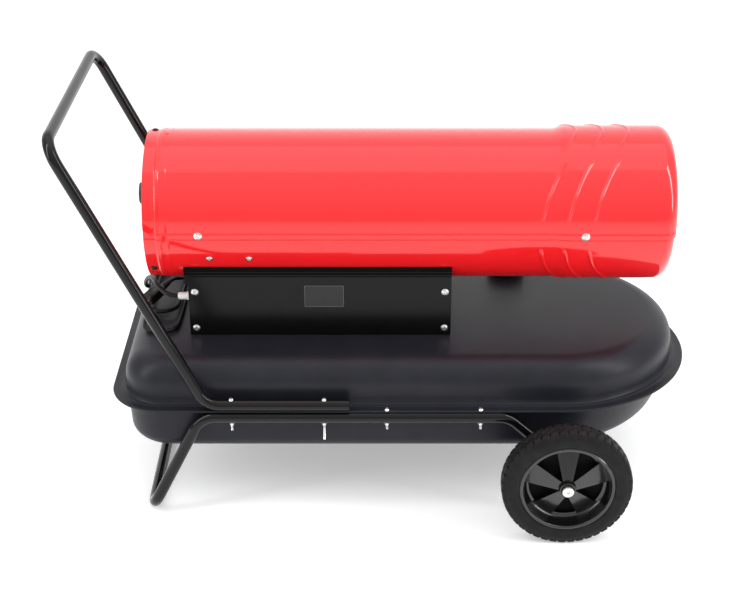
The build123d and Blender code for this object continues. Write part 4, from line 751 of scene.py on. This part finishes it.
def spoke(side, angle):
    """Wedge from the hub out into the wall: its half width grows evenly with the radius, its face leans
    back evenly towards the wall, and its long edges are very slightly raised."""
    r = np.linspace(SPOKE_FROM_R, SPOKE_TO_R, 12)
    half = 7.2 + (r - SPOKE_FROM_R) * 0.235
    face = 299.0 - (r - SPOKE_FROM_R) * (17.2 / (SPOKE_TO_R - SPOKE_FROM_R))
    section = np.array([(-1, -3.6), (-1, -0.3), (-0.985, 0.0), (-0.95, 0.1), (-0.5, 0.0), (0.5, 0.0),
                        (0.95, 0.1), (0.985, 0.0), (1, -0.3), (1, -3.6)])
    x = half[:, None] * section[:, 0]
    y = face[:, None] + section[:, 1]
    z = np.repeat(r[:, None], len(section), 1)
    t = radians(angle)
    points = np.stack([AXLE[0] + z * cos(t) - x * sin(t), side * y, AXLE[1] + z * sin(t) + x * cos(t)], -1)
    grid, faces = sheet_part(points, wrap_cols=True)
    count = len(section)
    fan = np.array([[0, i, i + 1, i + 1] for i in range(1, count - 1)])
    return grid, np.concatenate([faces, fan, fan + (len(r) - 1) * count])


for end, side in (("near", -1), ("far", 1)):
    piece("tread_tyre_" + end, [tyre(side)], tyre_rubber, body="wheel_" + end,
          replaces=["tyre_" + end], sharp=60)
    piece("spoked_rim_" + end, rim(side), rim_plastic, body="wheel_" + end,
          replaces=["rim_" + end], sharp=32)
    piece("wheel_web_" + end, [wheel_web(side)], shadow_plastic, body="wheel_" + end)


# ---------------------------------------------------------------- screws and bolts
def cross_head(radius, height, washer=0.0):
    """Round screw head along +Z with a cross recess: a dome less a cross-shaped pit; a flat washer may
    lie under it."""
    r = np.concatenate([np.linspace(0, 0.62, 12), [0.75, 0.88, 0.96, 1.0]])
    t = np.arange(48) * 2 * pi / 48
    x = radius * r[:, None] * np.cos(t)
    y = radius * r[:, None] * np.sin(t)
    dome = height * np.sqrt(np.clip(1 - (r[:, None] * 0.93) ** 2.6, 0, 1))
    arm = np.minimum(np.abs(x), np.abs(y)) / radius
    reach = np.maximum(np.abs(x), np.abs(y)) / radius
    pit = smooth_step(-arm, -0.13, 0.10) * smooth_step(-reach, -0.52, 0.12)
    top = np.stack([x, y, dome - 0.62 * height * pit], -1)
    foot = np.stack([x[-1:], y[-1:], np.zeros((1, 48))], -1)
    middle = np.zeros((1, 48, 3))
    parts = [sheet_part(np.concatenate([top, foot, middle]), wrap_cols=True)]
    if washer:
        disc = [(-0.75, 0), (-0.75, washer), (-0.15, washer), (0, washer - 0.2), (0, 0)]
        parts.append(lathe(disc, (0, 0, 0), "Z", 36))
    return parts


def placed(parts, point, out, spin=0.0):
    """Parts built along +Z, turned to point along out and set at a point."""
    out = np.array(out, float) / np.linalg.norm(out)
    side = np.cross([1, 0, 0] if abs(out[0]) < 0.9 else [0, 0, 1], out)
    side /= np.linalg.norm(side)
    turn = np.column_stack([side, np.cross(out, side), out]) @ np.array(turn_about("Z", spin))
    return [moved(part, turn, point) for part in parts]


def barrel_spot(x, angle, radius):
    """Point and outward direction on the barrel at an angle from the top."""
    t = radians(angle)
    out = (0, -sin(t), cos(t))
    return (x, radius * out[1], BARREL_Z + radius * out[2]), out


SEAM_SCREW_X = (-286.0, 305.0)
SEAM_SCREW_ANGLE = 92.9
SADDLE_SCREW_X = (-271.0, -210.0)
SADDLE_SCREW_ANGLE = 114.0
GUARD_SCREW_X = -360.0
GUARD_SCREW_ANGLES = (-10.0, 128.0, -128.0)
COVER_SCREWS = ((-298, 269), (-298, 332), (94, 269), (94, 332))


def seam_screws():
    """On each side two washered screws along the barrel's seam and two under it, for the motor saddle."""
    parts = []
    for side in (-1, 1):
        for number, x in enumerate(SEAM_SCREW_X):
            skin = BARREL_R + 1.0 + (SWELL if x > SWELL_X else 0)
            point, out = barrel_spot(x, side * SEAM_SCREW_ANGLE, skin)
            parts += placed(cross_head(5.6, 2.2, 6.4), point, out, 20 * number + 12)
        for number, x in enumerate(SADDLE_SCREW_X):
            point, out = barrel_spot(x, side * SADDLE_SCREW_ANGLE, BARREL_R + 0.6)
            parts += placed(cross_head(5.0, 2.1), point, out, 35 * number + 5)
    return parts


def guard_screw_heads():
    """Three screws round the barrel's rear collar."""
    parts = []
    for number, angle in enumerate(GUARD_SCREW_ANGLES):
        point, out = barrel_spot(GUARD_SCREW_X, angle, BARREL_R - 1.3)
        parts += placed(cross_head(4.8, 2.6, 5.6), point, out, 30 * number)
    return parts


def cover_screws():
    """One screw in each corner of both covers."""
    parts = []
    for side in (-1, 1):
        for number, (x, z) in enumerate(COVER_SCREWS):
            parts += placed(cross_head(4.9, 2.3, 5.7), (x, side * (PANEL_FACE + 0.75), z), (0, side, 0),
                            37 * number + 10)
    return parts


piece("barrel_screw_heads", seam_screws(), zinc, replaces=["shell_screws"])
piece("guard_screw_heads", guard_screw_heads(), black_oxide, replaces=["guard_screws"])
piece("cover_screw_heads", cover_screws(), zinc, replaces=["panel_screws"])

# Flange bolts: place along X, height of the head's seat, and length below the nut.
BOLTS = ((-236.5, 207.0, 9.5), (-94.0, 207.0, 26.5), (2.6, 189.4, 7.5), (147.0, 189.4, 7.5))
BOLT_Y = 218.0
NUT_LOW_Z = 164.0
NUT_HIGH_Z = 168.0


def thread(x, y, top, bottom):
    """Threaded end: the radius rises and falls once in each 0.8 mm of height, with a chamfered tip."""
    z = np.arange(bottom, top, 0.4)
    radius = np.where(np.arange(len(z)) % 2 == 0, 2.5, 2.15)
    profile = [(bottom - 0.4, 0.0), (bottom - 0.4, 1.8)] + list(zip(z, radius)) + [(top, 2.5), (top, 0.0)]
    return lathe(profile, (x, y, 0), "Z", 16)


def flange_bolt_parts():
    """Cross-headed bolts down through the flange, their threaded ends, and a six-sided nut on each."""
    heads, nuts = [], []
    low, high = NUT_LOW_Z, NUT_HIGH_Z
    nut = [(low, 0), (low, 4.2), (low + 0.4, 4.6), (high - 0.4, 4.6), (high, 4.2), (high, 0)]
    for side in (-1, 1):
        for number, (x, top, tail) in enumerate(BOLTS):
            y = side * BOLT_Y
            heads += placed(cross_head(4.1, 3.3), (x, y, top), (0, 0, 1), 25 * number)
            heads.append(thread(x, y, high, low - tail))
            nuts.append(lathe(nut, (x, y, 0), "Z", 6))
    return heads, nuts


bolt_heads, nut_parts = flange_bolt_parts()
piece("flange_bolt_set", bolt_heads, zinc, replaces=["flange_bolts"])
piece("flange_nut_set", nut_parts, zinc, replaces=["flange_nuts"])


def axle_bolt_parts():
    """Round-cornered bolt heads at the hubs, with a shallow socket."""
    parts = []
    for side in (-1, 1):
        out = (0, side, 0)
        seat = (AXLE[0], side * 306.3, AXLE[1])
        profile = [(0, 0), (0, 9.2), (0.8, 9.4), (3.2, 9.3), (4.6, 8.7), (5.2, 7.6), (5.4, 6.0), (5.5, 2.4),
                   (5.2, 2.0), (3.6, 1.8), (3.2, 0)]
        parts += placed([lathe(profile, (0, 0, 0), "Z", 40)], seat, out)
        shank = [(-20, 0), (-20, 3.6), (-19.4, 4), (0, 4), (0, 0)]
        parts += placed([lathe(shank, (0, 0, 0), "Z", 24)], seat, out)
    return parts


piece("axle_bolt_set", axle_bolt_parts(), zinc, replaces=["hub_bolts"], sharp=30)


# ---------------------------------------------------------------- box details
LABEL = (-126.5, -64.5, 306.0, 343.5)
LABEL_Y = -PANEL_FACE - 0.25


def frame_lines(rectangle, inset, width, thick):
    """Four thin bars round a rectangle on the label, this far inside its edges."""
    x0, x1, z0, z1 = np.array(rectangle) + [inset, -inset, inset, -inset]
    bars = [(x0, x1, z0, z0 + width), (x0, x1, z1 - width, z1), (x0, x0 + width, z0 + width, z1 - width),
            (x1 - width, x1, z0 + width, z1 - width)]
    return [slab((a, LABEL_Y - thick, c), (b, LABEL_Y, d)) for a, b, c, d in bars]


piece("bare_label", [slab((LABEL[0], LABEL_Y, LABEL[2]), (LABEL[1], -PANEL_FACE, LABEL[3]))], label_film,
      bevel=0.1)
piece("label_border", frame_lines(LABEL, 0.5, 0.5, 0.05), label_edge)

RAIL_X = (-314, 104)
RAIL_FACE = 96.02


def rail_strips(low, high, back):
    """A strip along each rail between two heights, its face set back from the cover's: the rail's folded
    edge, the lip under it, or the shaded recess between that and the cover."""
    strips = []
    for side in (-1, 1):
        y = sorted((side * RAIL_FACE, side * (PANEL_FACE - back)))
        strips.append(slab((RAIL_X[0], y[0], low), (RAIL_X[1], y[1], high)))
    return strips


# The rail strips and the recess below the lip carry the near-black, sheenless finish: painted shade along
# the rail and under its lip.
piece("rail_strips", rail_strips(366.6, 375, 0), rail_paint_and_shade, bevel=0.35)
piece("rail_lips", rail_strips(364.8, 366.5, 0.2), box_paint, bevel=0.5)
piece("rail_recess", rail_strips(360.6, 364.8, 1.2), rail_paint_and_shade)


def pump_gauge():
    """Gauge at the pump: a cup with a rolled bezel, and a dial set a little behind it."""
    cup = [(-364, 0), (-364, 15.4), (-380.5, 15.6), (-381.2, 16.6), (-382, 17), (-386.6, 17), (-387.6, 16.6),
           (-388, 15.8), (-387.8, 14.6), (-386.4, 14.2), (-385.6, 14.2), (-385.6, 0)]
    dial = [(-385.7, 0), (-385.7, 14.1), (-386.1, 14.1), (-386.1, 0)]
    centre = (0, 0, BARREL_Z + 16)
    return [lathe(cup, centre, "X", 48)], [lathe(dial, centre, "X", 48)]


gauge_cup, gauge_dial = pump_gauge()
piece("pump_gauge_cup", gauge_cup, brown_plastic, replaces=["pump_gauge"])
piece("pump_gauge_dial", gauge_dial, dial_white)

KNOB_X, KNOB_Z = -215, 305
SWITCH_X = -140
MARK_Y = PANEL_FACE + 0.08


def control_marks():
    """Short bars round the knob, one each 27 degrees over 270, and a ring and a bar at the switch."""
    parts = []
    for number in range(11):
        long = 4.0 if number % 5 == 0 else 2.4
        bar = slab((-0.35, -0.08, 21.0), (0.35, 0.0, 21.0 + long))
        turn = turn_about("Y", 90 - (225 - 27 * number))
        parts.append(moved(bar, turn, (KNOB_X, MARK_Y, KNOB_Z)))
    parts.append(slab((SWITCH_X - 0.4, PANEL_FACE, 325.5), (SWITCH_X + 0.4, MARK_Y, 330.5)))
    ring = [(PANEL_FACE, 1.6), (MARK_Y, 1.6), (MARK_Y, 2.3), (PANEL_FACE, 2.3)]
    points, _ = lathe(ring, (SWITCH_X, 0, 281.5), "Y", 24)
    parts.append((points, grid_faces(len(ring), 24, True, True)))
    return parts


piece("control_marks", control_marks(), dial_white)

DIAL_X, DIAL_Y = 60, 138
DIAL_LOW_Z = 261.2
DIAL_TOP_Z = 261.5


def dial_face():
    """White dial under the gauge's lens with five ticks along its sweep."""
    ring = [(DIAL_LOW_Z, 2.0), (DIAL_LOW_Z, 24.6), (DIAL_TOP_Z, 24.6), (DIAL_TOP_Z, 2.0)]
    points, _ = lathe(ring, (DIAL_X, DIAL_Y, 0), "Z", 48)
    plate = [(points, grid_faces(len(ring), 48, True, True))]
    ticks = []
    for number in range(5):
        bar = slab((18.5, -0.4, 0), (22.5 if number % 2 == 0 else 21.0, 0.4, 0.12))
        ticks.append(moved(bar, turn_about("Z", 180 + 21 * number), (DIAL_X, DIAL_Y, DIAL_TOP_Z)))
    return plate, ticks


dial_plate, dial_ticks = dial_face()
piece("dial_plate", dial_plate, dial_white)
piece("dial_ticks", dial_ticks, black_plastic)

for node, width, material, body in (
        ("fuel_cap", 0.5, black_plastic, "cap"), ("thermostat_knob", 0.4, black_plastic, "knob"),
        ("power_switch", 0.3, signal_red, "rocker"), ("switch_housing", 0.5, black_plastic, "chassis"),
        ("box_panel_near", 0.4, box_paint, "chassis"), ("box_panel_far", 0.4, box_paint, "chassis"),
        ("box_frame", 0.3, box_paint, "chassis"), ("display_window", 0.3, label_film, "chassis"),
        ("fan", 0.5, cast_alloy, "fan_rotor")):
    eased(node, width, material, body)


# ---------------------------------------------------------------- finishes of the CAD nodes
node_finish = {
    "handle": tube_enamel, "wheel_frame": tube_enamel, "axle": zinc, "drain_plug": zinc,
    "filler_neck": black_oxide, "filler_strainer": white_nylon, "cap_gasket": black_rubber,
    "gauge_body": black_plastic, "gauge_lens": clear_plastic, "gauge_needle": signal_red,
    "fuel_float": black_plastic, "pickup_tube": zinc, "inlet_guard": black_oxide,
    "motor_body": cast_alloy, "motor_bracket": galvanised, "motor_shaft": galvanised,
    "pump_body": cast_alloy, "pump_end_cover": black_plastic, "combustion_chamber": heat_steel,
    "chamber_stays": heat_steel, "burner_head": heat_steel, "burner_nozzle": brass,
    "spark_plug": white_nylon, "photocell": black_plastic, "outlet_nose": heat_steel,
    "air_hose": black_rubber, "fuel_hose": black_rubber, "fuel_filter": clear_plastic,
    "thermostat_body": black_plastic, "control_board": board_green,
    "ignition_transformer": black_plastic, "plug_pins": zinc,
}
for node, material in node_finish.items():
    if node in nodes:
        mesh = nodes[node].data
        mesh.materials.clear()
        mesh.materials.append(material)


# ---------------------------------------------------------------- floor, light and world
FLOOR_LIFT = 0.30
HORIZON = 0.62
ZENITH = 1.05


def seen_directly(tree, strength):
    """Strength for rays from the camera, off gloss or through glass, and nothing for the rest."""
    path = tree.nodes.new("ShaderNodeLightPath")
    seen = path.outputs["Is Camera Ray"]
    for ray in ("Is Glossy Ray", "Is Transmission Ray"):
        either = tree.nodes.new("ShaderNodeMath")
        either.operation = "MAXIMUM"
        tree.links.new(seen, either.inputs[0])
        tree.links.new(path.outputs[ray], either.inputs[1])
        seen = either.outputs[0]
    scale = tree.nodes.new("ShaderNodeMath")
    scale.operation = "MULTIPLY"
    tree.links.new(seen, scale.inputs[0])
    scale.inputs[1].default_value = strength
    return scale.outputs[0]


def plain_stage():
    """A large pale floor that curves up into a backdrop behind the heater."""
    run = np.linspace(-4000, 2500, 14)
    bend = np.linspace(0, pi / 2, 12)[1:]
    y = np.concatenate([run, 2500 + 900 * np.sin(bend), [3400]])
    z = np.concatenate([np.zeros(14), 900 * (1 - np.cos(bend)), [4200]])
    x = np.linspace(-5000, 5000, 8)
    points = np.stack([np.repeat(x[None, :], len(y), 0), np.repeat(y[:, None], 8, 1),
                       np.repeat(z[:, None], 8, 1)], -1)
    flat, faces = sheet_part(points)
    mesh = bpy.data.meshes.new("floor")
    mesh.from_pydata((flat * MM).tolist(), [], faces.tolist())
    mesh.shade_smooth()
    mat = bpy.data.materials.new("floor_paper")
    mat.use_nodes = True
    tree = mat.node_tree
    shader = tree.nodes["Principled BSDF"]
    shader.inputs["Base Color"].default_value = (0.93, 0.93, 0.93, 1)
    shader.inputs["Roughness"].default_value = 0.8
    glow = tree.nodes.new("ShaderNodeEmission")
    glow.inputs["Color"].default_value = (1, 1, 1, 1)
    tree.links.new(seen_directly(tree, FLOOR_LIFT), glow.inputs["Strength"])
    both = tree.nodes.new("ShaderNodeAddShader")
    tree.links.new(shader.outputs["BSDF"], both.inputs[0])
    tree.links.new(glow.outputs["Emission"], both.inputs[1])
    tree.links.new(both.outputs["Shader"], tree.nodes["Material Output"].inputs["Surface"])
    mesh.materials.append(mat)
    floor = bpy.data.objects.new("floor", mesh)
    scene.collection.objects.link(floor)


def soft_light(name, place, aim, size, power):
    """Rectangular soft box at a place in metres, turned to a point."""
    data = bpy.data.lights.new(name, "AREA")
    data.shape = "RECTANGLE"
    data.size, data.size_y = size
    data.energy = power
    lamp = bpy.data.objects.new(name, data)
    scene.collection.objects.link(lamp)
    lamp.location = place
    lamp.rotation_euler = (Vector(aim) - Vector(place)).to_track_quat("-Z", "Y").to_euler()


def studio_world():
    """White surroundings: strength rises smoothly with height, from the horizon to overhead."""
    world = bpy.data.worlds.new("studio")
    world.use_nodes = True
    tree = world.node_tree
    place = tree.nodes.new("ShaderNodeTexCoord")
    split = tree.nodes.new("ShaderNodeSeparateXYZ")
    tree.links.new(place.outputs["Generated"], split.inputs[0])
    level = tree.nodes.new("ShaderNodeMapRange")
    level.interpolation_type = "SMOOTHSTEP"
    level.inputs["From Min"].default_value = -0.1
    level.inputs["To Min"].default_value = HORIZON
    level.inputs["To Max"].default_value = ZENITH
    tree.links.new(split.outputs["Z"], level.inputs["Value"])
    tree.links.new(level.outputs["Result"], tree.nodes["Background"].inputs["Strength"])
    tree.nodes["Background"].inputs["Color"].default_value = (1, 1, 1, 1)
    scene.world = world


plain_stage()
studio_world()
soft_light("overhead_box", (0.0, 0.1, 2.7), (0, 0, 0.3), (3.0, 2.0), 11)
soft_light("left_strip", (-1.8, -0.9, 1.6), (0, 0, 0.4), (0.3, 2.6), 20)
soft_light("right_strip", (1.9, -0.9, 1.6), (0, 0, 0.4), (0.3, 2.6), 28)
scene.view_settings.view_transform = "Standard"
